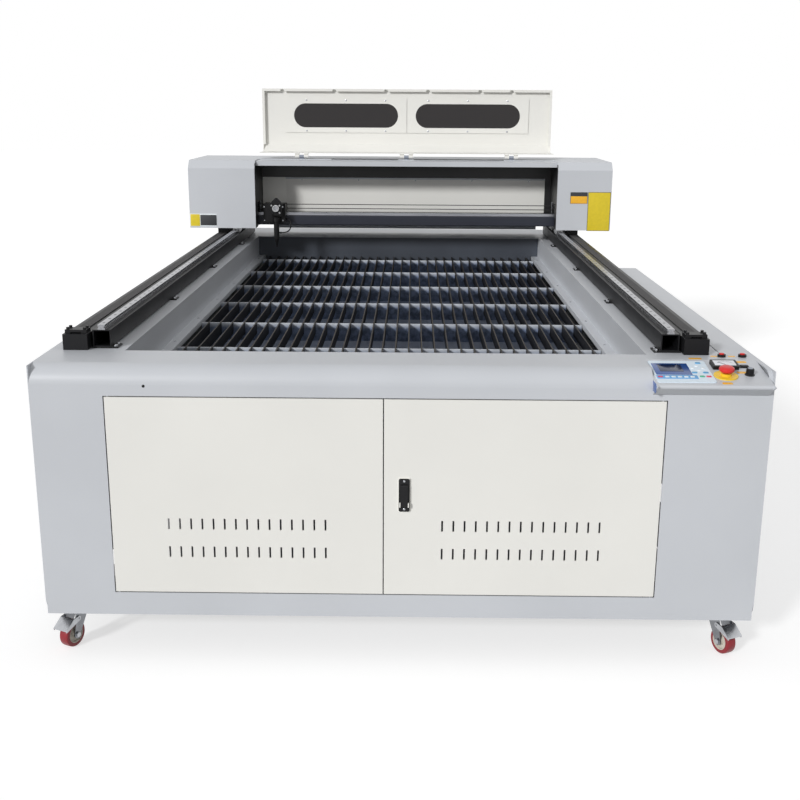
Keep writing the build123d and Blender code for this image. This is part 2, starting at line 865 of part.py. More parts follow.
# End plates and bearing blocks: they carry the beam and ride on the side rails
plate_front = gantry_y + sheet + fit_gap
plate_depth = gantry_depth - 2 * (sheet + fit_gap)
left_plate = (work_x - end_plate_outer, opening_left - sheet - fit_gap)
right_plate = (opening_right + sheet + fit_gap, work_x + end_plate_outer)
with BuildPart() as end_carriages:
    with BuildSketch(Plane.XY.offset(block_top_z)):
        for plate_left, plate_right in (left_plate, right_plate):
            with Locations((plate_left, plate_front)):
                Rectangle(plate_right - plate_left, plate_depth, align=(Align.MIN, Align.MIN))
    extrude(amount=end_plate)
    for side in (-1, 1):
        for setback in block_setbacks:
            block_plane = Plane.XZ.offset(-(gantry_y + setback - block_length / 2))
            with BuildSketch(block_plane) as block:
                with Locations((work_x + side * rail_offset, block_top_z - weld_gap)):
                    Rectangle(
                        block_width, block_height - 2 * weld_gap, align=(Align.CENTER, Align.MAX)
                    )
                with Locations((work_x + side * rail_offset, guide_top_z + fit_gap)):
                    Rectangle(
                        guide_width + 2 * fit_gap,
                        block_height,
                        align=(Align.CENTER, Align.MAX),
                        mode=Mode.SUBTRACT,
                    )
            extrude(block.sketch, amount=-block_length)
finish(end_carriages, "end_carriages")

# Drive units: belt housings below the end plates, motors above them and behind the beam
x_pulley_radius = x_belt_pitch_radius - x_belt_thickness / 2 - fit_gap
x_motor_y = x_belt_y + x_belt_width / 2 + fit_gap
x_motor_foot_y = gantry_y + beam_front + beam_depth + fit_gap
with BuildPart() as drive_units:
    with BuildSketch(Plane.XY.offset(block_top_z)) as housing:
        with Locations((work_x + channel_offset, gantry_y + drive_setback)):
            Rectangle(drive_width, motor_size, align=(Align.CENTER, Align.MIN))
    housing_height = block_top_z - belt_z - belt_thickness - belt_running_gap
    extrude(housing.sketch, amount=-housing_height)
    with BuildSketch(Plane.XY.offset(plate_top_z)) as side_motor:
        with Locations((work_x + channel_offset, gantry_y + drive_setback)):
            Rectangle(drive_width, motor_size, align=(Align.CENTER, Align.MIN))
    extrude(side_motor.sketch, amount=motor_length)
    mirror(about=mid_plane)
    for pulley_x in (belt_left, belt_right):
        pulley_plane = Plane.XZ.offset(-(x_belt_y - x_belt_width / 2))
        with BuildSketch(pulley_plane) as pulley:
            with Locations((pulley_x, x_belt_mid_z)):
                Circle(x_pulley_radius)
        extrude(pulley.sketch, amount=-(x_belt_width + fit_gap))
        with BuildSketch(Plane.XZ.offset(-x_motor_y)) as x_motor:
            with Locations((pulley_x, x_belt_mid_z)):
                Rectangle(motor_size, motor_size)
        extrude(x_motor.sketch, amount=-motor_length)
        with BuildSketch(Plane.XY.offset(plate_top_z)) as motor_foot:
            with Locations((pulley_x, x_motor_foot_y)):
                Rectangle(motor_size, motor_length / 2, align=(Align.CENTER, Align.MIN))
        extrude(motor_foot.sketch, amount=x_belt_mid_z - motor_size / 2 - plate_top_z)
finish(drive_units, "drive_units")

# Laser tube with its two saddles, in the closed back of the hood
laser_y = gantry_y + laser_tube_setback
laser_tube_length = opening_width - 2 * laser_tube_end_gap
hood_floor_z = cover_bottom + sheet
with BuildPart() as laser_tube:
    with BuildSketch(Plane.YZ.offset(opening_left + laser_tube_end_gap)):
        with Locations((laser_y, laser_tube_z)):
            Circle(laser_tube_radius)
    extrude(amount=laser_tube_length)
    for side in (-1, 1):
        saddle_x = opening_mid + side * laser_tube_length / 3
        with BuildSketch(Plane.YZ.offset(saddle_x)) as saddle:
            with Locations((laser_y, hood_floor_z)):
                Rectangle(
                    saddle_width, laser_tube_z - hood_floor_z, align=(Align.CENTER, Align.MIN)
                )
            with Locations((laser_y, laser_tube_z)):
                Circle(laser_tube_radius + fit_gap, mode=Mode.SUBTRACT)
        extrude(saddle.sketch, amount=saddle_thickness)
finish(laser_tube, "laser_tube")


# Lid: drawn closed over the opening, then placed open by a half turn about its hinge
hinge_y = gantry_y + hinge_setback


def opened(y, z):
    """Place of a point of the closed lid when the lid stands open."""
    return (2 * hinge_y - y, 2 * hinge_z - z)


lid_left = opening_left + lid_side_gap
lid_width = opening_width - 2 * lid_side_gap
lid_flange_y = hinge_y - hinge_knuckle_radius - running_gap
lid_path = [
    (lid_flange_y, cover_top),
    (gantry_y + cover_chamfer, cover_top),
    (gantry_y, cover_top - cover_chamfer),
    (gantry_y, lid_bottom),
    (gantry_y + lid_return, lid_bottom),
    (gantry_y + lid_return, lid_bottom + lid_lip),
]
cheek_path = [
    (gantry_y, lid_bottom),
    (gantry_y, cover_top - cover_chamfer),
    (gantry_y + cover_chamfer, cover_top),
    (gantry_y + cover_chamfer, cover_top - sheet),
    (gantry_y + lid_return, cover_top - cover_chamfer),
    (gantry_y + lid_return, lid_bottom),
]
hinge_xs = [opening_mid + step * hinge_spread for step in (-1, 0, 1)]
knuckle_width = hinge_width / 3
leaf_foot = hinge_z - cover_top
leaf_reach = 30.0
leaf_plane_z = hinge_z + leaf_foot

with BuildPart() as lid_shell:
    with BuildSketch(Plane.YZ.offset(lid_left)) as shell:
        with BuildLine():
            Polyline(*[opened(y, z) for y, z in lid_path])
            offset(amount=sheet, side=Side.RIGHT)
        make_face()
    extrude(amount=lid_width)
    for cheek_x in (lid_left, lid_left + lid_width - sheet):
        with BuildSketch(Plane.YZ.offset(cheek_x)) as cheek:
            with BuildLine():
                Polyline(*[opened(y, z) for y, z in cheek_path], close=True)
            make_face()
        extrude(cheek.sketch, amount=sheet)
    open_front_y, open_window_z = opened(gantry_y + lid_return, window_z)
    with BuildSketch(Plane.XZ.offset(-open_front_y)) as windows:
        with Locations((opening_mid, open_window_z)):
            with GridLocations(2 * window_offset, 1, 2, 1):
                SlotOverall(window_length, window_height)
    extrude(windows.sketch, amount=-(lid_return + 1), mode=Mode.SUBTRACT)
    open_top_z = opened(0, lid_bottom)[1]
    open_bend_z = opened(0, cover_top - cover_chamfer)[1]
    with BuildSketch(Plane.XZ.offset(-open_front_y)) as side_lips:
        for lip_x in (lid_left, lid_left + lid_width - lid_lip):
            with Locations((lip_x, open_bend_z)):
                Rectangle(lid_lip, open_top_z - open_bend_z, align=(Align.MIN, Align.MIN))
    extrude(side_lips.sketch, amount=-sheet)
    with BuildSketch(Plane.XZ.offset(-(open_front_y - 1))) as notches:
        for notch_x in lid_notches:
            with Locations((opening_mid + notch_x, open_top_z - lid_lip)):
                Circle(lid_notch_radius)
    extrude(notches.sketch, amount=-(sheet + 2), mode=Mode.SUBTRACT)
    for hinge_x in hinge_xs:
        for knuckle_x in (hinge_x - hinge_width / 2, hinge_x + knuckle_width / 2 + fit_gap):
            with BuildSketch(Plane.YZ.offset(knuckle_x)) as leaf:
                with Locations((hinge_y, hinge_z)):
                    Circle(hinge_knuckle_radius)
                with Locations((hinge_y, leaf_plane_z)):
                    Rectangle(leaf_reach, sheet, align=(Align.MIN, Align.MAX))
                with Locations((hinge_y + hinge_knuckle_radius - sheet, hinge_z)):
                    Rectangle(sheet, leaf_foot, align=(Align.MIN, Align.MIN))
                with Locations((hinge_y, hinge_z)):
                    Circle(hinge_pin_radius + running_gap, mode=Mode.SUBTRACT)
            extrude(leaf.sketch, amount=knuckle_width - fit_gap)
finish(lid_shell, "lid_shell")

with BuildPart() as window_panes:
    pane_y = opened(gantry_y + sheet, 0)[0]
    with BuildSketch(Plane.XZ.offset(-pane_y)):
        with Locations((opening_mid, open_window_z)):
            with GridLocations(2 * window_offset, 1, 2, 1):
                Rectangle(
                    window_frame_length - 2 * pane_inset, window_frame_height - 2 * pane_inset
                )
    extrude(amount=pane_thickness)
finish(window_panes, "window_panes")

with BuildPart() as window_frames:
    frame_y = pane_y - pane_thickness
    with BuildSketch(Plane.XZ.offset(-frame_y)):
        with Locations((opening_mid, open_window_z)):
            with GridLocations(2 * window_offset, 1, 2, 1):
                Rectangle(window_frame_length, window_frame_height)
                SlotOverall(window_length, window_height, mode=Mode.SUBTRACT)
    extrude(amount=window_frame_thickness)
finish(window_frames, "window_frames")

# Fixed hinge leaves with their pins, on the raised back of the hood
with BuildPart() as lid_hinges:
    for hinge_x in hinge_xs:
        with BuildSketch(Plane.YZ.offset(hinge_x - knuckle_width / 2)) as leaf:
            with Locations((hinge_y, hinge_z)):
                Circle(hinge_knuckle_radius)
            with Locations((hinge_y + sheet, cover_top)):
                Rectangle(leaf_reach, sheet, align=(Align.MIN, Align.MIN))
            with Locations((hinge_y + sheet, cover_top)):
                Rectangle(sheet, leaf_foot, align=(Align.MIN, Align.MIN))
        extrude(leaf.sketch, amount=knuckle_width)
        with BuildSketch(Plane.YZ.offset(hinge_x - hinge_width / 2)) as pin:
            with Locations((hinge_y, hinge_z)):
                Circle(hinge_pin_radius)
        extrude(pin.sketch, amount=hinge_width)
finish(lid_hinges, "lid_hinges")


# Carriage: moulded body over its bearing, with belt clamp arms and the lens holder
carriage_left = carriage_x - carriage_width / 2
x_guide_half = guide_width / 2 + fit_gap
x_guide_roof = x_guide_top_z + fit_gap
with BuildPart() as carriage:
    with BuildSketch(Plane.YZ.offset(carriage_left)):
        with BuildLine():
            Polyline(
                (gantry_y + carriage_front, carriage_bottom),
                (gantry_y + carriage_front, carriage_top),
                (gantry_y + carriage_back, carriage_top),
                (gantry_y + carriage_back, carriage_skirt),
                (x_guide_y + x_guide_half, carriage_skirt),
                (x_guide_y + x_guide_half, x_guide_roof),
                (x_guide_y - x_guide_half, x_guide_roof),
                (x_guide_y - x_guide_half, carriage_skirt),
                (gantry_y + carriage_nose_back, carriage_skirt),
                (gantry_y + carriage_nose_back, carriage_bottom),
                close=True,
            )
        make_face()
        strand_half = x_belt_thickness / 2 + fit_gap
        for arm_z, arm_side in ((strand_half, Align.MIN), (-strand_half, Align.MAX)):
            with Locations((gantry_y + carriage_back - 1, x_belt_low + arm_z)):
                Rectangle(
                    x_belt_setback + x_belt_width / 2 - carriage_back + 1,
                    clamp_arm,
                    align=(Align.MIN, arm_side),
                )
    extrude(amount=carriage_width)
    with BuildSketch(Plane.XY.offset(holder_bottom)) as holder:
        with Locations((head_x, gantry_y + head_setback)):
            Circle(holder_radius)
            Rectangle(
                2 * holder_radius, carriage_front - head_setback, align=(Align.CENTER, Align.MIN)
            )
    extrude(holder.sketch, amount=holder_top - holder_bottom)
    with BuildSketch(Plane.XY.offset(holder_bottom)) as holder_bore:
        with Locations((head_x, gantry_y + head_setback)):
            Circle(lens_radius + running_gap)
    extrude(holder_bore.sketch, amount=holder_top - holder_bottom, mode=Mode.SUBTRACT)
finish(carriage, "carriage")

# Mirror mount on the front of the carriage, with its bevelled face and adjusting screws
with BuildPart() as mirror_mount:
    with BuildSketch(Plane.XZ.offset(-(gantry_y + carriage_front))) as mount:
        with Locations((head_x, mirror_bottom)):
            Rectangle(
                mirror_width, mirror_top - mirror_bottom, align=(Align.CENTER, Align.MIN)
            )
        chamfer(mount.vertices().group_by(Axis.Y)[-1], length=mirror_chamfer)
    extrude(amount=mirror_depth)
    with BuildSketch(Plane.XZ.offset(-(gantry_y + carriage_front - mirror_depth))) as screws:
        with Locations((head_x, (mirror_bottom + mirror_top) / 2 - mirror_chamfer / 2)):
            with GridLocations(
                mirror_width - 2 * mirror_screw_inset, mirror_width - 2 * mirror_screw_inset, 2, 2
            ):
                Circle(mirror_screw_radius)
    extrude(screws.sketch, amount=mirror_screw_length)
finish(mirror_mount, "mirror_mount")

# Lens tube: sliding barrel with a cone nozzle and a side port for the hose
with BuildPart() as lens_tube:
    with BuildSketch(Plane.XY.offset(nozzle_top_z)):
        with Locations((head_x, gantry_y + head_setback)):
            Circle(lens_radius)
    extrude(amount=lens_top - nozzle_top_z)
    with BuildSketch(Plane.XY.offset(nozzle_top_z)):
        with Locations((head_x, gantry_y + head_setback)):
            Circle(nozzle_root_radius)
    with BuildSketch(Plane.XY.offset(nozzle_tip_z)):
        with Locations((head_x, gantry_y + head_setback)):
            Circle(nozzle_tip_radius)
    loft()
    port_plane = Plane(
        origin=(head_x, gantry_y + head_setback, hose_port_z), x_dir=(0, 1, 0), z_dir=(1, 0, 0)
    )
    with BuildSketch(port_plane) as port:
        Circle(hose_port_radius)
    extrude(port.sketch, amount=lens_radius + hose_port_length)
finish(lens_tube, "lens_tube")

# Air hose: from the side of the carriage round to the port of the lens tube
hose_start = head_x + lens_radius + hose_port_length + fit_gap
hose_x = carriage_x + carriage_width / 2 + hose_reach
with BuildPart() as air_hose:
    with BuildLine():
        hose_path = FilletPolyline(
            (hose_start, gantry_y + head_setback, hose_port_z),
            (hose_x, gantry_y + head_setback, hose_port_z),
            (hose_x, gantry_y + hose_root_setback, hose_root_z),
            (carriage_x + carriage_width / 2, gantry_y + hose_root_setback, hose_root_z),
            radius=hose_bend,
        )
    with BuildSketch(Plane(origin=hose_path @ 0, z_dir=hose_path % 0)):
        Circle(hose_radius)
    sweep()
finish(air_hose, "air_hose")


# Console housing: folded sheet with closed ends, open into the nose
with BuildPart() as console_housing:
    with BuildSketch(Plane.YZ.offset(console_left)) as fold:
        with BuildLine():
            FilletPolyline(*console_outline, radius=console_tip_radius)
            offset(amount=sheet, side=Side.LEFT)
        make_face()
    extrude(fold.sketch, amount=console_right - console_left)
    for cheek_x in (console_left, console_right - sheet):
        with BuildSketch(Plane.YZ.offset(cheek_x)) as end_cheek:
            with BuildLine():
                Polyline(*console_outline, close=True)
            make_face()
            fillet(end_cheek.vertices().sort_by(Axis.Y)[0], radius=console_tip_radius)
        extrude(end_cheek.sketch, amount=sheet)
    sleeve_width = rocker_width + 2 * (rocker_end_room + rocker_wall)
    sleeve_depth = rocker_depth + 2 * (fit_gap + rocker_wall)
    with BuildSketch(console_plane) as control_holes:
        with Locations((knob_x, -knob_slope)):
            Circle(knob_shaft_radius + running_gap)
        with Locations((rocker_x, -rocker_slope)):
            Rectangle(sleeve_width + 2 * fit_gap, sleeve_depth + 2 * fit_gap)
    extrude(control_holes.sketch, amount=-(sheet + 1), mode=Mode.SUBTRACT)
finish(console_housing, "console_housing")

# Keypad panel and current meter on the slope
with BuildPart() as keypad_panel:
    with BuildSketch(console_plane):
        with Locations((keypad_left + keypad_width / 2, -keypad_slope)):
            RectangleRounded(keypad_width, keypad_depth, keypad_corner)
    extrude(amount=keypad_thickness)
finish(keypad_panel, "keypad_panel")

with BuildPart() as current_meter:
    with BuildSketch(console_plane):
        with Locations((meter_x, -meter_slope)):
            RectangleRounded(meter_width, meter_depth, meter_corner)
    extrude(amount=meter_height)
finish(current_meter, "current_meter")

# Stop button: flat ring and collar on the slope, mushroom cap with its stem in the bore
with BuildPart() as stop_collar:
    for ring_radius, ring_height in (
        (stop_ring_radius, stop_ring_thickness),
        (stop_collar_radius, stop_collar_height),
    ):
        with BuildSketch(console_plane) as ring:
            with Locations((stop_x, -stop_slope)):
                Circle(ring_radius)
                Circle(stop_stem_radius + running_gap, mode=Mode.SUBTRACT)
        extrude(ring.sketch, amount=ring_height)
finish(stop_collar, "stop_collar")

cap_base = stop_collar_height + stop_travel + fit_gap
with BuildPart() as stop_button:
    with BuildSketch(console_plane.offset(cap_base)) as cap:
        with Locations((stop_x, -stop_slope)):
            Circle(stop_cap_radius)
    extrude(cap.sketch, amount=stop_cap_height)
    fillet(stop_button.faces().filter_by(GeomType.PLANE).edges(), radius=stop_cap_round)
    with BuildSketch(console_plane.offset(stop_travel + fit_gap)) as stem:
        with Locations((stop_x, -stop_slope)):
            Circle(stop_stem_radius)
    extrude(stem.sketch, amount=stop_collar_height + stop_cap_height / 2)
finish(stop_button, "stop_button")

# Speed knob with its shaft through the slope
with BuildPart() as speed_knob:
    with BuildSketch(console_plane.offset(fit_gap)) as grip:
        with Locations((knob_x, -knob_slope)):
            Circle(knob_radius)
    extrude(grip.sketch, amount=knob_height)
    chamfer(speed_knob.edges().filter_by(GeomType.CIRCLE), length=knob_edge)
    with BuildSketch(console_plane.offset(knob_height / 2)) as shaft:
        with Locations((knob_x, -knob_slope)):
            Circle(knob_shaft_radius)
    extrude(shaft.sketch, amount=-(knob_height / 2 + sheet + 2 * fit_gap))
    with BuildSketch(console_plane.offset(-sheet - fit_gap)) as knob_collar:
        with Locations((knob_x, -knob_slope)):
            Circle(knob_collar_radius)
    extrude(knob_collar.sketch, amount=-knob_collar_height)
finish(speed_knob, "speed_knob")

# Rocker switch: paddle on two short pins
with BuildPart() as rocker_switch:
    with BuildSketch(console_plane.offset(-rocker_height / 2)) as paddle:
        with Locations((rocker_x, -rocker_slope)):
            Rectangle(rocker_width, rocker_depth)
    extrude(paddle.sketch, amount=rocker_height)
    pin_half = rocker_depth / 2 + fit_gap + rocker_pin_length
    pin_plane = Plane(
        origin=console_plane.from_local_coords((rocker_x, -rocker_slope - pin_half, 0)),
        x_dir=(1, 0, 0),
        z_dir=console_plane.y_dir,
    )
    with BuildSketch(pin_plane) as rocker_pin:
        Circle(rocker_pin_radius)
    extrude(rocker_pin.sketch, amount=2 * pin_half)
finish(rocker_switch, "rocker_switch")

# Frame of the rocker and rings of the push buttons
with BuildPart() as control_bezels:
    with BuildSketch(console_plane.offset(-rocker_sleeve)) as sleeve:
        with Locations((rocker_x, -rocker_slope)):
            Rectangle(sleeve_width, sleeve_depth)
    extrude(sleeve.sketch, amount=rocker_sleeve)
    with BuildSketch(console_plane) as flange:
        with Locations((rocker_x, -rocker_slope)):
            Rectangle(sleeve_width + 2 * rocker_flange, sleeve_depth + 2 * rocker_flange)
    extrude(flange.sketch, amount=rocker_flange_height)
    with BuildSketch(console_plane.offset(-rocker_sleeve - 1)) as rocker_room:
        with Locations((rocker_x, -rocker_slope)):
            Rectangle(rocker_width + 2 * rocker_end_room, rocker_depth + 2 * fit_gap)
    extrude(
        rocker_room.sketch, amount=rocker_sleeve + rocker_flange_height + 2, mode=Mode.SUBTRACT
    )
    with BuildSketch(pin_plane) as pin_bore:
        Circle(rocker_pin_radius + running_gap)
    extrude(pin_bore.sketch, amount=2 * pin_half, mode=Mode.SUBTRACT)
    for push_x in button_x:
        with BuildSketch(Plane.XY.offset(body_top)) as push_ring:
            with Locations((push_x, front_y + button_setback)):
                Circle(bezel_radius)
                Circle(button_radius + running_gap, mode=Mode.SUBTRACT)
        extrude(push_ring.sketch, amount=bezel_height)
finish(control_bezels, "control_bezels")

button_names = ("left_push_button", "right_push_button")
for push_x, push_name in zip(button_x, button_names):
    with BuildPart() as push_button:
        with BuildSketch(Plane.XY.offset(body_top + button_travel + fit_gap)):
            with Locations((push_x, front_y + button_setback)):
                Circle(button_radius)
        extrude(amount=bezel_height + fit_gap)
        chamfer(push_button.faces().sort_by(Axis.Z)[-1].edges(), length=button_edge)
    finish(push_button, push_name)


# Doors: vented pans with bores for their pivot pins
pivot_y = front_y + pivot_depth
door_split = (door_left + door_right) / 2 - door_split_offset
left_door_edges = (door_left, door_split)
right_door_edges = (door_split + door_gap, door_right)


def door_pan(left, right, pivot_x):
    """Vented pan with pivot bores in its top and bottom returns."""
    with BuildPart() as pan:
        with BuildSketch(front_plane) as outline:
            with Locations(((left + right) / 2, (door_bottom + door_top) / 2)):
                Rectangle(right - left, door_top - door_bottom)
        extrude(outline.sketch, amount=-door_depth)
        offset(amount=-sheet, openings=pan.faces().sort_by(Axis.Y)[-1])
        with BuildSketch(front_plane) as vents:
            with Locations(((left + right) / 2, sum(vent_rows) / 2)):
                with GridLocations(vent_pitch, vent_rows[0] - vent_rows[1], vent_count, 2):
                    Rectangle(vent_width, vent_height)
        extrude(vents.sketch, amount=-(sheet + 1), mode=Mode.SUBTRACT)
        with BuildSketch(Plane.XY.offset(door_bottom - 1)) as bore:
            with Locations((pivot_x, pivot_y)):
                Circle(pivot_radius + running_gap)
        extrude(bore.sketch, amount=door_top - door_bottom + 2, mode=Mode.SUBTRACT)
    return pan


left_pivot_x = left_door_edges[0] + pivot_inset
right_pivot_x = right_door_edges[1] - pivot_inset
finish(door_pan(*left_door_edges, left_pivot_x), "left_door")

latch_x = right_door_edges[0] + latch_offset
handle_y = front_y - latch_plate_depth - fit_gap - handle_depth / 2
handle_low_z = latch_z - handle_height / 2 + handle_depth / 2
right_pan = door_pan(*right_door_edges, right_pivot_x)
with BuildPart() as right_door:
    add(right_pan.part)
    with BuildSketch(front_plane) as latch:
        with Locations((latch_x, latch_z)):
            Rectangle(latch_width, latch_height)
    extrude(latch.sketch, amount=latch_plate_depth)
    for side in (-1, 1):
        ear_x = latch_x + side * (handle_width / 2 + fit_gap + handle_ear / 2)
        with BuildSketch(front_plane) as ear:
            with Locations((ear_x, handle_low_z)):
                Rectangle(handle_ear, handle_ear_height)
        extrude(ear.sketch, amount=latch_plate_depth + fit_gap + handle_depth)
    handle_plane = Plane.YZ.offset(latch_x - latch_width / 2)
    with BuildSketch(handle_plane) as ear_bore:
        with Locations((handle_y, handle_low_z)):
            Circle(handle_pin_radius + running_gap)
    extrude(ear_bore.sketch, amount=latch_width, mode=Mode.SUBTRACT)
finish(right_door, "right_door")

# Latch handle: turns on its pin at the lower end
with BuildPart() as latch_handle:
    with BuildSketch(Plane.YZ.offset(latch_x - handle_width / 2)) as lever:
        with Locations((handle_y, latch_z)):
            SlotOverall(handle_height, handle_depth, rotation=90)
    extrude(lever.sketch, amount=handle_width)
    handle_pin_half = handle_width / 2 + fit_gap + handle_ear
    with BuildSketch(Plane.YZ.offset(latch_x - handle_pin_half)) as handle_pin:
        with Locations((handle_y, handle_low_z)):
            Circle(handle_pin_radius)
    extrude(handle_pin.sketch, amount=2 * handle_pin_half)
finish(latch_handle, "latch_handle")

# Door pivots: brackets behind the front panel with pins into the door returns
bracket_depth = 2 * pivot_inset
with BuildPart() as door_pivots:
    for pivot_x in (left_pivot_x, right_pivot_x):
        for plate_low, pin_low in (
            (door_bottom - door_gap - pivot_plate, door_bottom - door_gap),
            (door_top + door_gap, door_top + door_gap - pivot_reach),
        ):
            with BuildSketch(Plane.XY.offset(plate_low)) as pivot_bracket:
                with Locations((pivot_x, front_y + sheet)):
                    Rectangle(2 * bracket_depth, bracket_depth, align=(Align.CENTER, Align.MIN))
            extrude(pivot_bracket.sketch, amount=pivot_plate)
            with BuildSketch(Plane.XY.offset(pin_low)) as pivot_pin:
                with Locations((pivot_x, pivot_y)):
                    Circle(pivot_radius)
            extrude(pivot_pin.sketch, amount=pivot_reach)
finish(door_pivots, "door_pivots")


# Casters: swivel fork with axle and pedal pins, wheel and brake pedal
fork_top_z = caster_top_z - caster_plate - fit_gap
fork_inner = wheel_width / 2 + fork_gap
fork_outer = fork_inner + fork_plate
pedal_outer = fork_outer + fit_gap + pedal_sheet


def caster_side(spot, angle):
    """Upright plane through a caster, with its X axis along the trail."""
    turn = math.radians(angle)
    return Plane(
        origin=(spot[0], spot[1], 0),
        x_dir=(math.cos(turn), math.sin(turn), 0),
        z_dir=(math.sin(turn), -math.cos(turn), 0),
    )


def fork_part(spot, side):
    """Round head with two legs, the axle and two pedal pins."""
    with BuildPart() as fork:
        with BuildSketch(Plane.XY.offset(fork_top_z)) as head:
            with Locations(spot):
                Circle(fork_head_radius)
                Circle(kingpin_radius + running_gap, mode=Mode.SUBTRACT)
        extrude(head.sketch, amount=-fork_head)
        for leg_start in (fork_inner, -fork_outer):
            with BuildSketch(side.offset(leg_start)) as leg:
                with BuildLine():
                    Polyline(
                        (-fork_back, fork_top_z - fork_head),
                        (fork_front, fork_top_z - fork_head),
                        (caster_trail + fork_eye_radius, wheel_radius),
                        (caster_trail - fork_eye_radius, wheel_radius),
                        close=True,
                    )
                make_face()
                with Locations((caster_trail, wheel_radius)):
                    Circle(fork_eye_radius)
            extrude(leg.sketch, amount=fork_plate)
        with BuildSketch(side.offset(-fork_outer)) as axle:
            with Locations((caster_trail, wheel_radius)):
                Circle(axle_radius)
        extrude(axle.sketch, amount=2 * fork_outer)
        for pin_start in (fork_outer, -pedal_outer):
            with BuildSketch(side.offset(pin_start)) as pedal_pin:
                with Locations((pedal_pin_u, pedal_pin_z)):
                    Circle(pedal_pin_radius)
            extrude(pedal_pin.sketch, amount=pedal_outer - fork_outer)
    return fork


def wheel_part(side):
    """Wheel with rounded tread edges and a bore for the axle."""
    with BuildPart() as wheel:
        with BuildSketch(side.offset(-wheel_width / 2)) as disc:
            with Locations((caster_trail, wheel_radius)):
                Circle(wheel_radius)
        extrude(disc.sketch, amount=wheel_width)
        fillet(wheel.edges().filter_by(GeomType.CIRCLE), radius=wheel_edge)
        with BuildSketch(side.offset(-wheel_width)) as hub:
            with Locations((caster_trail, wheel_radius)):
                Circle(axle_radius + running_gap)
        extrude(hub.sketch, amount=2 * wheel_width, mode=Mode.SUBTRACT)
    return wheel


def pedal_part(side):
    """Brake pedal: two arms outside the fork and a sloping tread plate."""
    with BuildPart() as pedal:
        for arm_start in (fork_outer + fit_gap, -pedal_outer):
            with BuildSketch(side.offset(arm_start)) as arm:
                with BuildLine():
                    Polyline(
                        (pedal_pin_u, pedal_pin_z - pedal_arm_radius),
                        (pedal_plate_u[1], pedal_plate_z[1] - pedal_sheet),
                        (pedal_plate_u[1], pedal_plate_z[1] + pedal_sheet),
                        (pedal_plate_u[0], pedal_plate_z[0] + pedal_sheet),
                        (pedal_pin_u, pedal_pin_z + pedal_arm_radius),
                        close=True,
                    )
                make_face()
                with Locations((pedal_pin_u, pedal_pin_z)):
                    Circle(pedal_arm_radius)
                    Circle(pedal_pin_radius + running_gap, mode=Mode.SUBTRACT)
            extrude(arm.sketch, amount=pedal_sheet)
        with BuildSketch(side.offset(-pedal_outer)) as tread:
            with BuildLine():
                Polyline(
                    (pedal_plate_u[0], pedal_plate_z[0]),
                    (pedal_plate_u[1], pedal_plate_z[1]),
                    (pedal_plate_u[1], pedal_plate_z[1] + pedal_sheet),
                    (pedal_plate_u[0], pedal_plate_z[0] + pedal_sheet),
                    close=True,
                )
            make_face()
        extrude(tread.sketch, amount=2 * pedal_outer)
    return pedal


caster_angles = (
    -90 - caster_toe_out,
    -90 + caster_toe_out,
    90 + caster_toe_out,
    90 - caster_toe_out,
)
caster_names = ("front_left", "front_right", "rear_left", "rear_right")
for spot, angle, corner in zip(caster_spots, caster_angles, caster_names):
    side_plane = caster_side(spot, angle)
    finish(fork_part(spot, side_plane), corner + "_fork")
    finish(wheel_part(side_plane), corner + "_wheel")
    finish(pedal_part(side_plane), corner + "_pedal")
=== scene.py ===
import json
import math

import bpy
import bmesh
import numpy as np
from bpy.props import FloatProperty, FloatVectorProperty, IntProperty, PointerProperty
from mathutils import Matrix, Vector


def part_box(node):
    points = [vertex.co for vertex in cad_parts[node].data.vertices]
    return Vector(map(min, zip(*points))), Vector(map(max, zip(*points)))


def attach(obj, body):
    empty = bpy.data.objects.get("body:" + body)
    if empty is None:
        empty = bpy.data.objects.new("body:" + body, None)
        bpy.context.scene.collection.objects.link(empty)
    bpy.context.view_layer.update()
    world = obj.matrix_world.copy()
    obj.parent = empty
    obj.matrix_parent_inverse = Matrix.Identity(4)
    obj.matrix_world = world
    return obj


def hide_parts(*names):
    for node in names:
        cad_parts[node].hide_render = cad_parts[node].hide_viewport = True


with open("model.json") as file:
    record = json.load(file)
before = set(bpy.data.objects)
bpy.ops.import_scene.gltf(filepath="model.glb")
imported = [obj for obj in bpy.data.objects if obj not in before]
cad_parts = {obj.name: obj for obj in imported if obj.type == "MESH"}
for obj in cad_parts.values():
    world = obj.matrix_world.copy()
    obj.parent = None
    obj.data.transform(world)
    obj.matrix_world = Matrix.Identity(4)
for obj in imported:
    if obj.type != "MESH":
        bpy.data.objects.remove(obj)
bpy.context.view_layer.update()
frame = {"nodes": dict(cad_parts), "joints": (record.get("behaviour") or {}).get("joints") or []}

bl_info = {
    "name": "Flat-bed laser cutter dressing",
    "version": (1, 0, 0),
    "blender": (4, 5, 0),
    "location": "3D View > Sidebar > Laser cutter",
    "description": "Finishes and small parts for a flat-bed gantry laser cutting machine",
    "category": "Object",
}

NODES = frame["nodes"]
CORNERS = ("front_left", "front_right", "rear_left", "rear_right")

# Directions, and places of the solids that several pieces are set against, in metres
RIGHT, LEFT, UP, FRONT = (1, 0, 0), (-1, 0, 0), (0, 0, 1), (0, -1, 0)
HOOD_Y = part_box("gantry_left_cover")[0].y
KEYPAD_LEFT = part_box("keypad_panel")[0].x
BODY_TOP = 0.818
FRONT_Y = -1.617
BED_X = -0.010

# Edges sharper than this stay crisp on the made pieces
SHARP_ANGLE = math.radians(35)

# Sockets of the Mix node when it mixes colours
MIX_SHARE, MIX_LOW, MIX_HIGH, MIX_RESULT = 0, 6, 7, 2


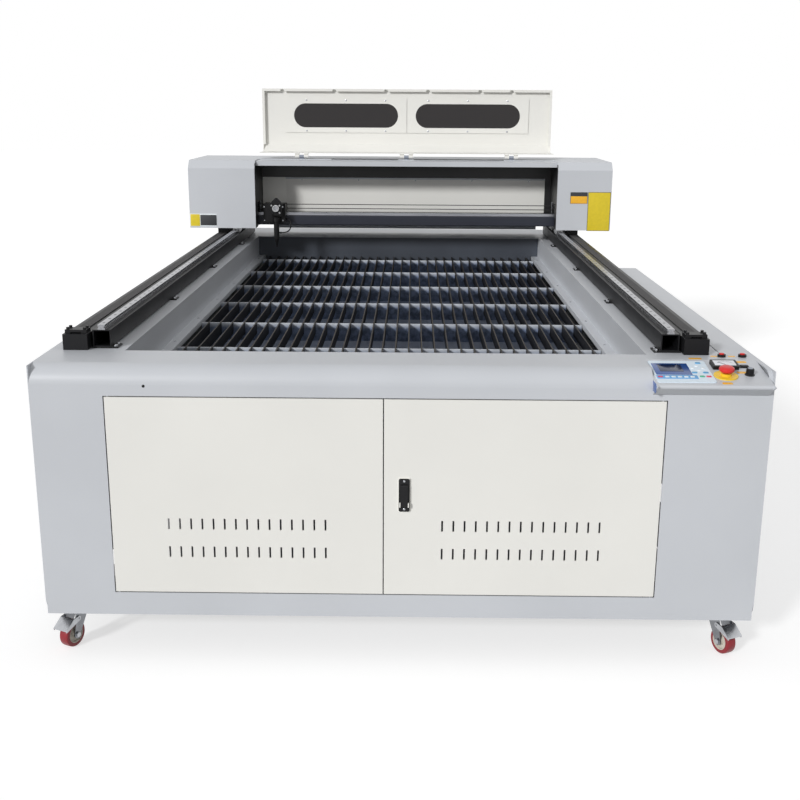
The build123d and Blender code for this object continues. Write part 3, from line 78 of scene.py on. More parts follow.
def linear(red, green, blue):
    """Scene-linear colour from a 0 to 255 display colour: the sRGB curve, undone."""
    levels = np.array((red, green, blue)) / 255.0
    low = levels / 12.92
    high = ((levels + 0.055) / 1.055) ** 2.4
    return tuple(np.where(levels <= 0.04045, low, high).tolist())


# Sizes and colours that a user may change
def colour_prop(label, note, red, green, blue):
    """Colour setting whose default is given as 0 to 255 display levels."""
    return FloatVectorProperty(
        name=label, description=note, subtype="COLOR", size=3, min=0, max=1,
        default=linear(red, green, blue),
    )


def length_prop(label, note, metres):
    """Length setting in metres."""
    return FloatProperty(name=label, description=note, unit="LENGTH", min=0, default=metres)


class CutterColours(bpy.types.PropertyGroup):
    body: colour_prop("Body coat", "Powder coat of the body and the gantry covers", 199, 202, 207)
    pale: colour_prop("Pale coat", "Powder coat of doors, lid and inner panel", 233, 232, 227)
    black: colour_prop("Black coat", "Coat of rails, channels and clamps", 22, 22, 24)
    beam: colour_prop("Beam coat", "Dark coat of the moving beam", 42, 45, 56)
    wheel: colour_prop("Wheel", "Tread of the caster wheels", 142, 24, 36)
    stop: colour_prop("Stop cap", "Cap of the stop button", 214, 36, 34)
    ring: colour_prop("Stop ring", "Disc under the stop button", 246, 208, 52)
    keypad: colour_prop("Keypad film", "Printed film of the keypad", 222, 236, 247)


class CutterSizes(bpy.types.PropertyGroup):
    screw_radius: length_prop("Screw head", "Radius of the panel screws", 0.0042)
    rail_bolt_pitch: length_prop("Rail bolt pitch", "Spacing of the bolts along a guide rail", 0.06)
    key_gap: length_prop("Key gap", "Spacing of the small keys", 0.0125)
    hose_radius: length_prop("Hose radius", "Radius of the air hose", 0.003)
    floor_size: length_prop("Floor size", "Length of each side of the floor", 60.0)
    turned_steps: IntProperty(
        name="Round steps", description="Steps round a turned piece", default=40, min=12,
    )


def settings():
    """Colours and sizes that the scene holds."""
    return bpy.context.scene.cutter_colours, bpy.context.scene.cutter_sizes


# Materials
def material(name, colour, rough, metal=0.0):
    """Plain shader with its colour, roughness and metal share; the caller adds the detail."""
    made = bpy.data.materials.new(name)
    made.use_nodes = True
    shader = made.node_tree.nodes["Principled BSDF"]
    shader.inputs["Base Color"].default_value = (*colour, 1)
    shader.inputs["Roughness"].default_value = rough
    shader.inputs["Metallic"].default_value = metal
    made.diffuse_color = (*colour, 1)
    return made, made.node_tree, shader


def object_place(tree):
    """Object coordinates of the shaded point."""
    return tree.nodes.new("ShaderNodeTexCoord").outputs["Object"]


def axes_of(tree, vector):
    """The X, Y and Z of a vector."""
    split = tree.nodes.new("ShaderNodeSeparateXYZ")
    tree.links.new(vector, split.inputs["Vector"])
    return split.outputs


def combine(tree, operation, first, second):
    """One sum over two values, each of them a socket or a number."""
    node = tree.nodes.new("ShaderNodeMath")
    node.operation = operation
    for slot, value in zip(node.inputs, (first, second)):
        if isinstance(value, bpy.types.NodeSocket):
            tree.links.new(value, slot)
        else:
            slot.default_value = value
    return node.outputs[0]


def between(tree, value, low, high, start=0.0, end=1.0):
    """Value that runs from low to high while the given one runs from start to end."""
    node = tree.nodes.new("ShaderNodeMapRange")
    limits = {"From Min": start, "From Max": end, "To Min": low, "To Max": high}
    for slot, limit in limits.items():
        node.inputs[slot].default_value = limit
    tree.links.new(value, node.inputs["Value"])
    return node.outputs["Result"]


def blend(tree, share, low, high):
    """Colour that goes from low to high as the share goes from nought to one."""
    mix = tree.nodes.new("ShaderNodeMix")
    mix.data_type = "RGBA"
    for slot, value in ((MIX_SHARE, share), (MIX_LOW, low), (MIX_HIGH, high)):
        tree.links.new(value, mix.inputs[slot])
    return mix.outputs[MIX_RESULT]


def object_noise(tree, scale, stretch=(1, 1, 1), detail=2.0):
    """Noise on object coordinates, stretched along an axis by a mapping."""
    turn = tree.nodes.new("ShaderNodeMapping")
    noise = tree.nodes.new("ShaderNodeTexNoise")
    turn.inputs["Scale"].default_value = stretch
    noise.inputs["Scale"].default_value = scale
    noise.inputs["Detail"].default_value = detail
    tree.links.new(object_place(tree), turn.inputs["Vector"])
    tree.links.new(turn.outputs["Vector"], noise.inputs["Vector"])
    return noise.outputs["Fac"]


def ramp(tree, value, low, high, at_low=0.35, at_high=0.65):
    """Two-colour ramp over a value."""
    node = tree.nodes.new("ShaderNodeValToRGB")
    node.color_ramp.elements[0].position = at_low
    node.color_ramp.elements[1].position = at_high
    node.color_ramp.elements[0].color = (*low, 1)
    node.color_ramp.elements[1].color = (*high, 1)
    tree.links.new(value, node.inputs["Fac"])
    return node.outputs["Color"]


def shade(colour, factor):
    """Colour made lighter or darker by a factor, held at white."""
    return tuple(min(1.0, c * factor) for c in colour)


def relief(tree, shader, value, strength, distance):
    """Bump from a value into the shader's normal."""
    bump = tree.nodes.new("ShaderNodeBump")
    bump.inputs["Strength"].default_value = strength
    bump.inputs["Distance"].default_value = distance
    tree.links.new(value, bump.inputs["Height"])
    tree.links.new(bump.outputs["Normal"], shader.inputs["Normal"])


def roughen(tree, shader, value, low, high):
    """Roughness that follows a value between two limits."""
    tree.links.new(between(tree, value, low, high), shader.inputs["Roughness"])


def coat(name, colour, rough=0.42, spread=0.03, grain=0.12, sheen=0.5):
    """Powder coat: slow tone drift, fine orange-peel relief and patchy gloss."""
    made, tree, shader = material(name, colour, rough)
    shader.inputs["Specular IOR Level"].default_value = sheen
    drift = object_noise(tree, 2.4, detail=3.0)
    tone = ramp(tree, drift, shade(colour, 1 - spread), shade(colour, 1 + spread))
    tree.links.new(tone, shader.inputs["Base Color"])
    roughen(tree, shader, object_noise(tree, 9.0, detail=4.0), rough - 0.06, rough + 0.08)
    relief(tree, shader, object_noise(tree, 700.0, detail=1.0), grain, 0.0002)
    return made


def lined_coat(name, colour, lining, low, high):
    """Coat whose faces inside a box of object coordinates are painted in a second colour."""
    made = coat(name, colour)
    tree = made.node_tree
    shader = tree.nodes["Principled BSDF"]
    axes = axes_of(tree, object_place(tree))
    tests = [
        combine(tree, test, axes[axis], value)
        for test, corner in (("GREATER_THAN", low), ("LESS_THAN", high))
        for axis, value in zip("XYZ", corner)
    ]
    inside = tests[0]
    for test in tests[1:]:
        inside = combine(tree, "MULTIPLY", inside, test)
    outer = shader.inputs["Base Color"].links[0].from_socket
    inner = ramp(tree, object_noise(tree, 3.0), shade(lining, 0.8), shade(lining, 1.2))
    tree.links.new(blend(tree, inside, outer, inner), shader.inputs["Base Color"])
    return made


def metal(name, colour, rough=0.32, stretch=(1, 1, 1), scale=300.0, strength=0.1):
    """Bare metal: fine lines along the stretched axis in tone, gloss and relief."""
    made, tree, shader = material(name, colour, rough, 1.0)
    lines = object_noise(tree, scale, stretch, 4.0)
    tone = ramp(tree, lines, shade(colour, 0.88), shade(colour, 1.08))
    tree.links.new(tone, shader.inputs["Base Color"])
    roughen(tree, shader, lines, rough - 0.08, rough + 0.12)
    relief(tree, shader, lines, strength, 0.0002)
    return made


def moulded(name, colour, rough=0.5, grain=0.15, sheen=0.5):
    """Moulded plastic or rubber: fine leathery grain and slight gloss drift."""
    made, tree, shader = material(name, colour, rough)
    shader.inputs["Specular IOR Level"].default_value = sheen
    grainy = object_noise(tree, 1400.0, detail=2.0)
    tone = ramp(tree, object_noise(tree, 40.0), shade(colour, 0.94), shade(colour, 1.06))
    tree.links.new(tone, shader.inputs["Base Color"])
    roughen(tree, shader, object_noise(tree, 60.0), rough - 0.05, rough + 0.08)
    relief(tree, shader, grainy, grain, 0.0001)
    return made


def toothed(name, colour, axis, pitch):
    """Belt: grooves across it, one per pitch, as waves along one axis, with painted shade in the
    grooves and painted light on the teeth.
    At a scale of one the wave repeats 20 / (2 pi) times in a metre."""
    made, tree, shader = material(name, colour, 0.75)
    wave = tree.nodes.new("ShaderNodeTexWave")
    wave.bands_direction = axis
    wave.inputs["Scale"].default_value = 2 * math.pi / (20 * pitch)
    wave.inputs["Distortion"].default_value = 0
    tree.links.new(object_place(tree), wave.inputs["Vector"])
    # Painted shade in the grooves and painted light on the teeth
    groove_shade, tooth_light = shade(colour, 0.45), shade(colour, 1.1)
    tone = ramp(tree, wave.outputs["Fac"], groove_shade, tooth_light, 0.25, 0.6)
    tree.links.new(tone, shader.inputs["Base Color"])
    relief(tree, shader, wave.outputs["Fac"], 0.8, 0.0012)
    return made


def top_lit_steel(name, side, edge, rough, metal_share, sunlit_heights=(10.0, 11.0)):
    """Cut sheet steel: streaked sides in the side colour, and faces that face up in the brighter
    colour, a painted highlight of light from above.
    Between the two sunlit heights the sides turn as bright, a painted band of sunlight; by default
    these lie overhead."""
    made, tree, shader = material(name, side, rough, metal_share)
    shader.inputs["Specular IOR Level"].default_value = 0.15
    normal = tree.nodes.new("ShaderNodeNewGeometry").outputs["Normal"]
    height = axes_of(tree, object_place(tree))["Z"]
    # Painted band of sunlight on the sides between the two heights
    sunlit_band = between(tree, height, 0.0, 1.0, *sunlit_heights)
    # Faces that face up take the brighter colour: painted highlight of light from above
    painted_light_share = combine(tree, "MAXIMUM", axes_of(tree, normal)["Z"], sunlit_band)
    streaks = object_noise(tree, 60.0, (1, 0.08, 1), 5.0)
    side_tone = ramp(tree, streaks, shade(side, 0.7), shade(side, 1.5))
    lit_top_tone = ramp(tree, object_noise(tree, 30.0), shade(edge, 0.8), edge)
    tree.links.new(blend(tree, painted_light_share, side_tone, lit_top_tone), shader.inputs["Base Color"])
    roughen(tree, shader, streaks, rough - 0.1, rough + 0.15)
    relief(tree, shader, streaks, 0.15, 0.0004)
    return made


def clear(name, colour, rough, opacity):
    """Tinted pane or glass tube: see-through, with faint smears."""
    made, tree, shader = material(name, colour, rough)
    shader.inputs["Alpha"].default_value = opacity
    shader.inputs["IOR"].default_value = 1.45
    roughen(tree, shader, object_noise(tree, 14.0, detail=3.0), rough, rough + 0.06)
    return made


def printed_film(name, colour, rough=0.35):
    """Printed film: flat ink with a satin film over it."""
    made, tree, shader = material(name, colour, rough)
    tone = ramp(tree, object_noise(tree, 90.0), shade(colour, 0.97), shade(colour, 1.03))
    tree.links.new(tone, shader.inputs["Base Color"])
    relief(tree, shader, object_noise(tree, 1800.0), 0.05, 0.0001)
    return made


# Finishes by name, filled by the stage from the scene's colours
FINISH = {}


def make_finishes():
    """Fill the table of finishes from the scene's colours."""
    colours, _ = settings()
    body, pale = tuple(colours.body), tuple(colours.pale)
    black, beam = tuple(colours.black), tuple(colours.beam)
    lining, rear_wall_shade = linear(22, 22, 24), linear(66, 71, 80)
    # Two corners of the box, in object coordinates, whose inner faces take the lining
    in_hood = ((-1.1, HOOD_Y + 0.0435, 0.9), (1.1, HOOD_Y + 0.2735, 1.2068))
    in_left_cover = ((-0.6945, HOOD_Y + 0.012, 0.8), (1.1, 2, 1.2))
    in_right_cover = ((-1.1, HOOD_Y + 0.012, 0.8), (0.7535, 2, 1.2))
    # The rear bed wall's face takes a dark slate: painted shade of the gantry above it.
    rear_wall = ((-0.7235, 1.2755, 0.6), (0.7035, 1.3, 0.8176))
    # The supports take a lit and a shaded copy of one steel: a painted band of sunlight along their
    # tops, and painted shade of the blades on the sides below.
    support_shaded_side, support_lit_top = linear(112, 124, 148), linear(214, 219, 226)
    FINISH.update(
        body=coat("body_coat", body, 0.4),
        pale=coat("pale_coat", pale, 0.38, 0.02),
        frame=coat("frame_coat", linear(112, 114, 118), 0.6, 0.08),
        hood=lined_coat("hood_coat", body, lining, *in_hood),
        left_cover=lined_coat("left_cover_coat", body, lining, *in_left_cover),
        right_cover=lined_coat("right_cover_coat", body, lining, *in_right_cover),
        bed=lined_coat("bed_coat", body, rear_wall_shade, *rear_wall),
        black=coat("black_coat", black, 0.4, 0.15, 0.2, 0.22),
        bracket=coat("bracket_coat", linear(146, 152, 164), 0.4),
        beam=coat("beam_coat", beam, 0.34, 0.08),
        steel=metal("ground_steel", linear(158, 159, 163), 0.26, (1, 0.02, 1)),
        cross_steel=metal("ground_steel_across", linear(190, 192, 198), 0.28, (0.02, 1, 1)),
        tray=coat("tray_steel", linear(112, 123, 146), 0.6, 0.25),
        # Blade tops take the brighter colour: painted highlight of light from above.
        blades=top_lit_steel("blade_steel", linear(30, 31, 35), linear(66, 62, 58), 0.55, 0.0),
        supports=top_lit_steel("support_steel", support_shaded_side, support_lit_top, 0.5, 0.2, (0.7, 0.717)),
        silver=metal("milled_aluminium", linear(205, 206, 208), 0.34, (1, 1, 0.1), 160.0),
        zinc=metal("zinc_plate", linear(190, 192, 196), 0.24, (1, 1, 1), 40.0, 0.05),
        # The caster forks take a darker copy of the zinc plate: painted shade under the machine.
        fork=metal("shaded_zinc_plate", linear(142, 144, 148), 0.26, (1, 1, 1), 40.0, 0.05),
        side_belt=toothed("side_belt", linear(62, 61, 62), "Y", 0.008),
        beam_belt=toothed("beam_belt", linear(46, 44, 44), "X", 0.005),
        hose=moulded("hose_wall", linear(14, 14, 16), 0.35, 0.1, 0.2),
        pane=clear("smoked_pane", linear(30, 25, 26), 0.07, 0.93),
        tube_glass=clear("tube_glass", linear(226, 232, 236), 0.08, 0.4),
        plastic=moulded("black_plastic", linear(20, 20, 22), 0.4, 0.15, 0.25),
        soft_black=moulded("black_rubber", linear(30, 30, 31), 0.75, 0.3),
        keypad=printed_film("keypad_film", tuple(colours.keypad)),
        screen=printed_film("screen_film", linear(40, 84, 156), 0.16),
        screen_dark=printed_film("screen_dark", linear(24, 40, 78), 0.14),
        key_strip=printed_film("key_strip", linear(92, 168, 226)),
        key_white=moulded("white_keys", linear(238, 244, 248), 0.4),
        key_blue=moulded("blue_keys", linear(84, 160, 208), 0.4),
        key_green=moulded("green_key", linear(74, 176, 140), 0.4),
        key_red=moulded("red_keys", linear(222, 58, 92), 0.4),
        meter_face=printed_film("meter_face", linear(232, 234, 240), 0.3),
        stop=moulded("stop_cap", tuple(colours.stop), 0.3, 0.05),
        ring=moulded("stop_ring", tuple(colours.ring), 0.38, 0.05),
        yellow_plate=printed_film("yellow_plate", linear(222, 198, 40), 0.4),
        orange_plate=printed_film("orange_plate", linear(246, 184, 48), 0.4),
        wheel=moulded("wheel_tread", tuple(colours.wheel), 0.34, 0.1),
        wheel_core=moulded("wheel_core", linear(206, 200, 188), 0.45, 0.1),
        dark_print=printed_film("dark_print", linear(40, 42, 46), 0.4),
    )


# Nodes of the solids that take each finish
NODE_FINISH = {
    "body": "front_panel left_side_panel right_side_panel side_cabinet rear_panel console_housing",
    "pale": "lid_shell inner_panel left_door right_door window_frames",
    "bed": "bed_walls",
    "hood": "gantry_hood",
    "left_cover": "gantry_left_cover",
    "right_cover": "gantry_right_cover",
    "frame": "base_frame",
    "black": "rail_beams belt_channels belt_clamps drive_units",
    "beam": "x_beam",
    "steel": "guide_rails",
    "cross_steel": "x_guide_rail",
    "tray": "dust_tray",
    "blades": "bed_blades",
    "supports": "support_bars",
    "silver": "end_carriages",
    "zinc": "door_pivots",
    "bracket": "lid_hinges",
    "side_belt": "drive_belts",
    "beam_belt": "x_belt",
    "pane": "window_panes",
    "tube_glass": "laser_tube",
    "plastic": (
        "carriage mirror_mount lens_tube current_meter speed_knob rocker_switch latch_handle"
        " control_bezels"
    ),
    "keypad": "keypad_panel",
    "ring": "stop_collar",
    "stop": "stop_button left_push_button right_push_button",
}


def finish_nodes():
    """Give each node of the solids the finish that the table names for it."""
    pairs = [(name, finish) for finish, names in NODE_FINISH.items() for name in names.split()]
    for corner in CORNERS:
        for part, finish in (("fork", "fork"), ("wheel", "wheel"), ("pedal", "zinc")):
            pairs.append((f"{corner}_{part}", finish))
    for name, finish in pairs:
        coats = NODES[name].data.materials
        coats.clear()
        coats.append(FINISH[finish])


# Shapes
def frame_of(normal, along=RIGHT):
    """Three unit axes: the first follows along, made square to the normal, which is the third."""
    third = np.array(normal, float)
    third /= np.linalg.norm(third)
    first = np.array(along, float) - third * np.dot(along, third)
    first /= np.linalg.norm(first)
    return first, np.cross(third, first), third


def piece(name, points, faces, finish_name, body):
    """Mesh from whole arrays: doubles merged, faces turned outwards, edges sharp past an angle."""
    mesh = bpy.data.meshes.new(name)
    mesh.from_pydata(points.tolist(), [], [list(face) for face in faces])
    work = bmesh.new()
    work.from_mesh(mesh)
    bmesh.ops.remove_doubles(work, verts=work.verts, dist=1e-6)
    bmesh.ops.dissolve_degenerate(work, edges=work.edges, dist=1e-7)
    bmesh.ops.recalc_face_normals(work, faces=work.faces)
    work.to_mesh(mesh)
    work.free()
    made = bpy.data.objects.new(name, mesh)
    bpy.context.scene.collection.objects.link(made)
    mesh.materials.append(FINISH[finish_name])
    mesh.polygons.foreach_set("use_smooth", np.ones(len(mesh.polygons), bool))
    mesh.set_sharp_from_angle(angle=SHARP_ANGLE)
    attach(made, body)
    return made


def ring_faces(rows, columns):
    """Quads between rings of points, one ring to a row, each joined round to its start."""
    row, here = np.meshgrid(np.arange(rows - 1), np.arange(columns), indexing="ij")
    start, after = row * columns, (here + 1) % columns
    corners = [start + here, start + after, start + columns + after, start + columns + here]
    return np.stack(corners, -1).reshape(-1, 4)


def repeated(faces, copies, points):
    """The same faces once per copy, each copy's numbers raised by the points before it."""
    starts = np.arange(copies) * points
    return (faces[None] + starts[:, None, None]).reshape(-1, 4)


def mirrored_profile(half):
    """Closed profile from its upper half: the half, then its mirror image back to the start."""
    return half + [(radius, -height) for radius, height in reversed(half)] + half[:1]


def turned(
    name, profile, centres, normal, finish_name, body, steps=None, flats=0, along=RIGHT,
):
    """Turned form, once at each centre: a profile of radius and height swept round the normal.
    With flats, the radius follows a polygon with that many sides."""
    steps = steps or settings()[1].turned_steps
    profile = np.array(profile, float)
    first, second, third = frame_of(normal, along)
    angle = np.arange(steps) * 2 * math.pi / steps
    reach = np.ones(steps)
    if flats:
        half = math.pi / flats
        reach = math.cos(half) / np.cos((angle % (2 * half)) - half)
    ring = np.cos(angle)[:, None] * first + np.sin(angle)[:, None] * second
    shape = profile[:, None, :1] * (ring * reach[:, None])[None] + profile[:, None, 1:] * third
    centres = np.atleast_2d(np.array(centres, float))
    points = (centres[:, None, None, :] + shape[None]).reshape(-1, 3)
    faces = repeated(ring_faces(len(profile), steps), len(centres), len(profile) * steps)
    return piece(name, points, faces, finish_name, body)


def outline(width, depth, radius, steps=5):
    """Rounded rectangle as points: four quarter circles, one round each corner's centre."""
    radius = max(radius, 1e-5)
    angle = np.linspace(0, math.pi / 2, steps + 1)
    quarter = np.stack([np.cos(angle), np.sin(angle)], -1) * radius
    middle = np.array([width / 2 - radius, depth / 2 - radius])
    turns = [np.array([[c, -s], [s, c]]) for c, s in ((1, 0), (0, 1), (-1, 0), (0, -1))]
    signs = np.array([[1, 1], [-1, 1], [-1, -1], [1, -1]])
    return np.concatenate([quarter @ turn.T + middle * sign for turn, sign in zip(turns, signs)])


def pads(name, centres, slab, normal, along, finish_name, body, lift=0.0):
    """Rounded slabs, one per centre: stacked rings of a rounded rectangle, which draw in as a
    quarter circle round the top edge. A slab is width, depth, height, corner radius and edge."""
    width, depth, height, radius, edge = slab
    first, second, third = frame_of(normal, along)
    bend = np.linspace(0, math.pi / 2, 4)
    insets = np.concatenate([[0.0], edge * (1 - np.cos(bend))])
    heights = np.concatenate([[0.0], height - edge + edge * np.sin(bend)]) + lift
    rings = []
    for inset, level in zip(insets, heights):
        flat = outline(width - 2 * inset, depth - 2 * inset, radius - inset)
        rings.append(flat[:, :1] * first + flat[:, 1:] * second + level * third)
    shape = np.array(rings)
    count = shape.shape[1]
    centres = np.atleast_2d(np.array(centres, float))
    points = (centres[:, None, None, :] + shape[None]).reshape(-1, 3)
    faces = []
    one = ring_faces(len(rings), count)
    for index in range(len(centres)):
        start = index * len(rings) * count
        faces += (one + start).tolist()
        faces.append([start + k for k in reversed(range(count))])
        faces.append([start + (len(rings) - 1) * count + k for k in range(count)])
    return piece(name, points, faces, finish_name, body)


def screws(name, centres, normal, radius, height, body):
    """Socket-head screws: a round head with a sunk hexagon, as one profile swept round."""
    steps = 24
    first, second, third = frame_of(normal)
    angle = np.arange(steps) * 2 * math.pi / steps
    hexagon = math.cos(math.pi / 6) / np.cos((angle % (math.pi / 3)) - math.pi / 6)
    ring = np.cos(angle)[:, None] * first + np.sin(angle)[:, None] * second
    rows = [
        (0, height * 0.4, 0), (radius * 0.52, height * 0.4, 1), (radius * 0.52, height, 1),
        (radius * 0.82, height, 0), (radius, height * 0.78, 0), (radius, 0, 0), (0, 0, 0),
    ]
    shape = np.array([
        ring * (reach * (hexagon if six else np.ones(steps)))[:, None] + level * third
        for reach, level, six in rows
    ])
    centres = np.atleast_2d(np.array(centres, float))
    points = (centres[:, None, None, :] + shape[None]).reshape(-1, 3)
    faces = repeated(ring_faces(len(rows), steps), len(centres), len(rows) * steps)
    return piece(name, points, faces, "zinc", body)


def tube_along(name, route, radius, finish_name, body, steps=8):
    """Round bar along a route: circles square to the route's direction, carried without twist."""
    route = np.array(route, float)
    lead = np.gradient(route, axis=0)
    lead /= np.linalg.norm(lead, axis=1)[:, None]
    side = np.cross(lead, (0, 0, 1.0))
    weak = np.linalg.norm(side, axis=1) < 1e-3
    side[weak] = np.cross(lead[weak], (0, 1.0, 0))
    side /= np.linalg.norm(side, axis=1)[:, None]
    lift = np.cross(side, lead)
    angle = np.arange(steps) * 2 * math.pi / steps
    across, over = np.cos(angle)[None, :, None], np.sin(angle)[None, :, None]
    ring = across * side[:, None] + over * lift[:, None]
    points = (route[:, None] + ring * radius).reshape(-1, 3)
    faces = ring_faces(len(route), steps).tolist()
    faces.append(list(reversed(range(steps))))
    faces.append([(len(route) - 1) * steps + k for k in range(steps)])
    return piece(name, points, faces, finish_name, body)


# Console: its slope falls to the front, and its places are given across and down the slope
SLOPE_RUN, SLOPE_FALL = 0.188, 0.029
SLOPE_LENGTH = math.hypot(SLOPE_RUN, SLOPE_FALL)
SLOPE_UP = np.array((0, -SLOPE_FALL, SLOPE_RUN)) / SLOPE_LENGTH
SLOPE_DOWN = np.array((0, -SLOPE_RUN, -SLOPE_FALL)) / SLOPE_LENGTH
SLOPE_BACK = 0.132
SLOPE_START = np.array((0, FRONT_Y + SLOPE_BACK, BODY_TOP))

# Keypad: where its film lies over the slope, and the rise and edge of its keys
FILM_TOP = 0.002
KEY_RISE, KEY_EDGE = 0.0014, 0.0006
PLATE_EDGE = 0.0002


def on_slope(x, down, lift=0.0):
    """Point of the console: across the machine, down the slope and off its surface."""
    return SLOPE_START + np.array((x, 0, 0)) + SLOPE_DOWN * down + SLOPE_UP * lift


def slope_pads(name, places, slab, lift, finish_name):
    """Slabs that lie on the slope, each place given across and down it."""
    centres = [on_slope(x, down, lift) for x, down in places]
    return pads(name, centres, slab, SLOPE_UP, RIGHT, finish_name, "frame")


def key(width, depth, radius):
    """Slab of a key, with the rise and the edge that all keys share."""
    return width, depth, KEY_RISE, radius, KEY_EDGE


def keypad_pieces(key_gap):
    """Screen, key strip and keys, each placed from the left edge of the keypad."""
    white = [(0.030 + key_gap * 1.3 * k, 0.126) for k in range(5)]
    cross = [(0.122, 0.05), (0.122, 0.082), (0.108, 0.066), (0.136, 0.066)]
    blue = [(0.107, 0.096), (0.136, 0.096), (0.13, 0.03)]
    reds = [(0.012, 0.126), (0.138, 0.122)]
    rim, rim_thick = (0.094, 0.078, 0.0006, 0.002, 0.0003), 0.0005
    glass = (0.062, 0.05, 0.0004, 0.001, 0.0002)
    strip = (0.106, 0.024, 0.0005, 0.002, 0.0003)
    table = [
        ("screen_rim", [(0.052, 0.072)], rim, FILM_TOP, "screen"),
        ("screen_glass", [(0.05, 0.066)], glass, FILM_TOP + rim_thick, "screen_dark"),
        ("key_strip", [(0.056, 0.126)], strip, FILM_TOP, "key_strip"),
        ("white_keys", white, key(0.011, 0.008, 0.002), FILM_TOP, "key_white"),
        ("red_keys", reds, key(0.013, 0.009, 0.003), FILM_TOP, "key_red"),
        ("green_key", [(0.121, 0.122)], key(0.013, 0.009, 0.003), FILM_TOP, "key_green"),
        ("arrow_keys", cross, key(0.009, 0.009, 0.004), FILM_TOP, "key_white"),
        ("blue_keys", blue, key(0.014, 0.009, 0.003), FILM_TOP, "key_blue"),
    ]
    for name, places, slab, lift, finish_name in table:
        slope_pads(name, [(KEYPAD_LEFT + x, down) for x, down in places], slab, lift, finish_name)


def meter_pieces():
    """Face, marks and needle of the current meter; the marks stand on an arc round the pivot."""
    low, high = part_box("current_meter")
    middle = (low.x + high.x) / 2
    face = (0.056, 0.034, 0.0008, 0.002, 0.0004)
    slope_pads("meter_window", [(middle, 0.046)], face, 0.01, "meter_face")
    reach, centre_down, mark_lift, needle_lift = 0.022, 0.058, 0.0108, 0.0113
    marks = [
        on_slope(middle + reach * math.sin(a), centre_down - reach * math.cos(a), mark_lift)
        for a in np.linspace(-0.9, 0.9, 11)
    ]
    mark = (0.0009, 0.004, 0.0002, 0.0002, 0.0001)
    pads("meter_marks", marks, mark, SLOPE_UP, RIGHT, "dark_print", "frame")
    pivot = on_slope(middle, 0.06, needle_lift)
    tip = on_slope(middle - 0.017, 0.044, needle_lift)
    tube_along("meter_needle", np.linspace(pivot, tip, 4), 0.0004, "dark_print", "frame")


class CUTTER_OT_console(bpy.types.Operator):
    """Screen, keys, meter face, plates and grips of the sloping console"""

    bl_idname = "cutter.console"
    bl_label = "Console"

    def execute(self, context):
        _, sizes = settings()
        keypad_pieces(sizes.key_gap)
        meter_pieces()
        slope_places = [(0.868, 0.162), (0.942, 0.014), (0.924, 0.088)]
        slope_plate = (0.026, 0.012, 0.0005, 0.003, PLATE_EDGE)
        slope_pads("orange_plates", slope_places, slope_plate, 0.0, "orange_plate")
        deck_places = [(x, FRONT_Y + 0.176, BODY_TOP) for x in (0.884, 0.932)]
        deck_plate = (0.018, 0.012, 0.0006, 0.002, PLATE_EDGE)
        pads("deck_plates", deck_places, deck_plate, UP, RIGHT, "orange_plate", "frame")
        edge_place = (0.826, FRONT_Y + 0.146, BODY_TOP)
        edge_plate = (0.034, 0.016, 0.0006, 0.002, PLATE_EDGE)
        pads("edge_plate", [edge_place], edge_plate, UP, RIGHT, "orange_plate", "frame")

        knob, knob_top = on_slope(0.94, 0.103, 0.0003), 0.0183
        grip = [
            (0.0, knob_top), (0.0072, knob_top), (0.0086, 0.0176), (0.0102, 0.016),
            (0.0104, 0.003), (0.0128, 0.0012), (0.0128, 0.0), (0.0, 0.0),
        ]
        made = turned("knob_grip", grip, knob, SLOPE_UP, "plastic", "speed_knob", 36)
        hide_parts("speed_knob")
        line_place = knob + SLOPE_UP * knob_top - SLOPE_DOWN * 0.004
        line = (0.0012, 0.006, 0.0003, 0.0003, 0.0001)
        pads("knob_line", [line_place], line, SLOPE_UP, RIGHT, "key_white", "speed_knob")
        disc = [(0, 0.0007), (0.0062, 0.0006), (0.0066, 0), (0, 0)]
        cap_place = knob + SLOPE_UP * knob_top
        turned("knob_cap", disc, cap_place, SLOPE_UP, "bracket", "speed_knob", 32)
        film = (0.09, 0.026, 0.0005, 0.01, PLATE_EDGE)
        film_place = (KEYPAD_LEFT - 0.006, FRONT_Y + 0.008, 0.7785)
        pads("film_tail", [film_place], film, LEFT, (0, 1, 0), "screen", "frame")

        mushroom = [
            (0, 0.0138), (0.009, 0.0137), (0.0155, 0.0126), (0.019, 0.0098), (0.02, 0.006),
            (0.0192, 0.0025), (0.016, 0.0), (0.0078, 0.0), (0.0078, -0.0085), (0, -0.0085),
        ]
        stop_place = on_slope(0.876, 0.113, 0.0133)
        made = turned("stop_cap", mushroom, stop_place, SLOPE_UP, "stop", "stop_button", 48)
        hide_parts("stop_button")
        for name, x in (("left_push_button", 0.904), ("right_push_button", 0.96)):
            low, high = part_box(name)
            height = high.z - low.z
            dome = [
                (0, height), (0.004, height * 0.99), (0.0062, height * 0.93),
                (0.0069, height * 0.8), (0.0069, 0), (0, 0),
            ]
            made = turned(name + "_cap", dome, (x, FRONT_Y + 0.172, low.z), UP, "stop", name, 32)
            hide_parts(name)
        return {"FINISHED"}


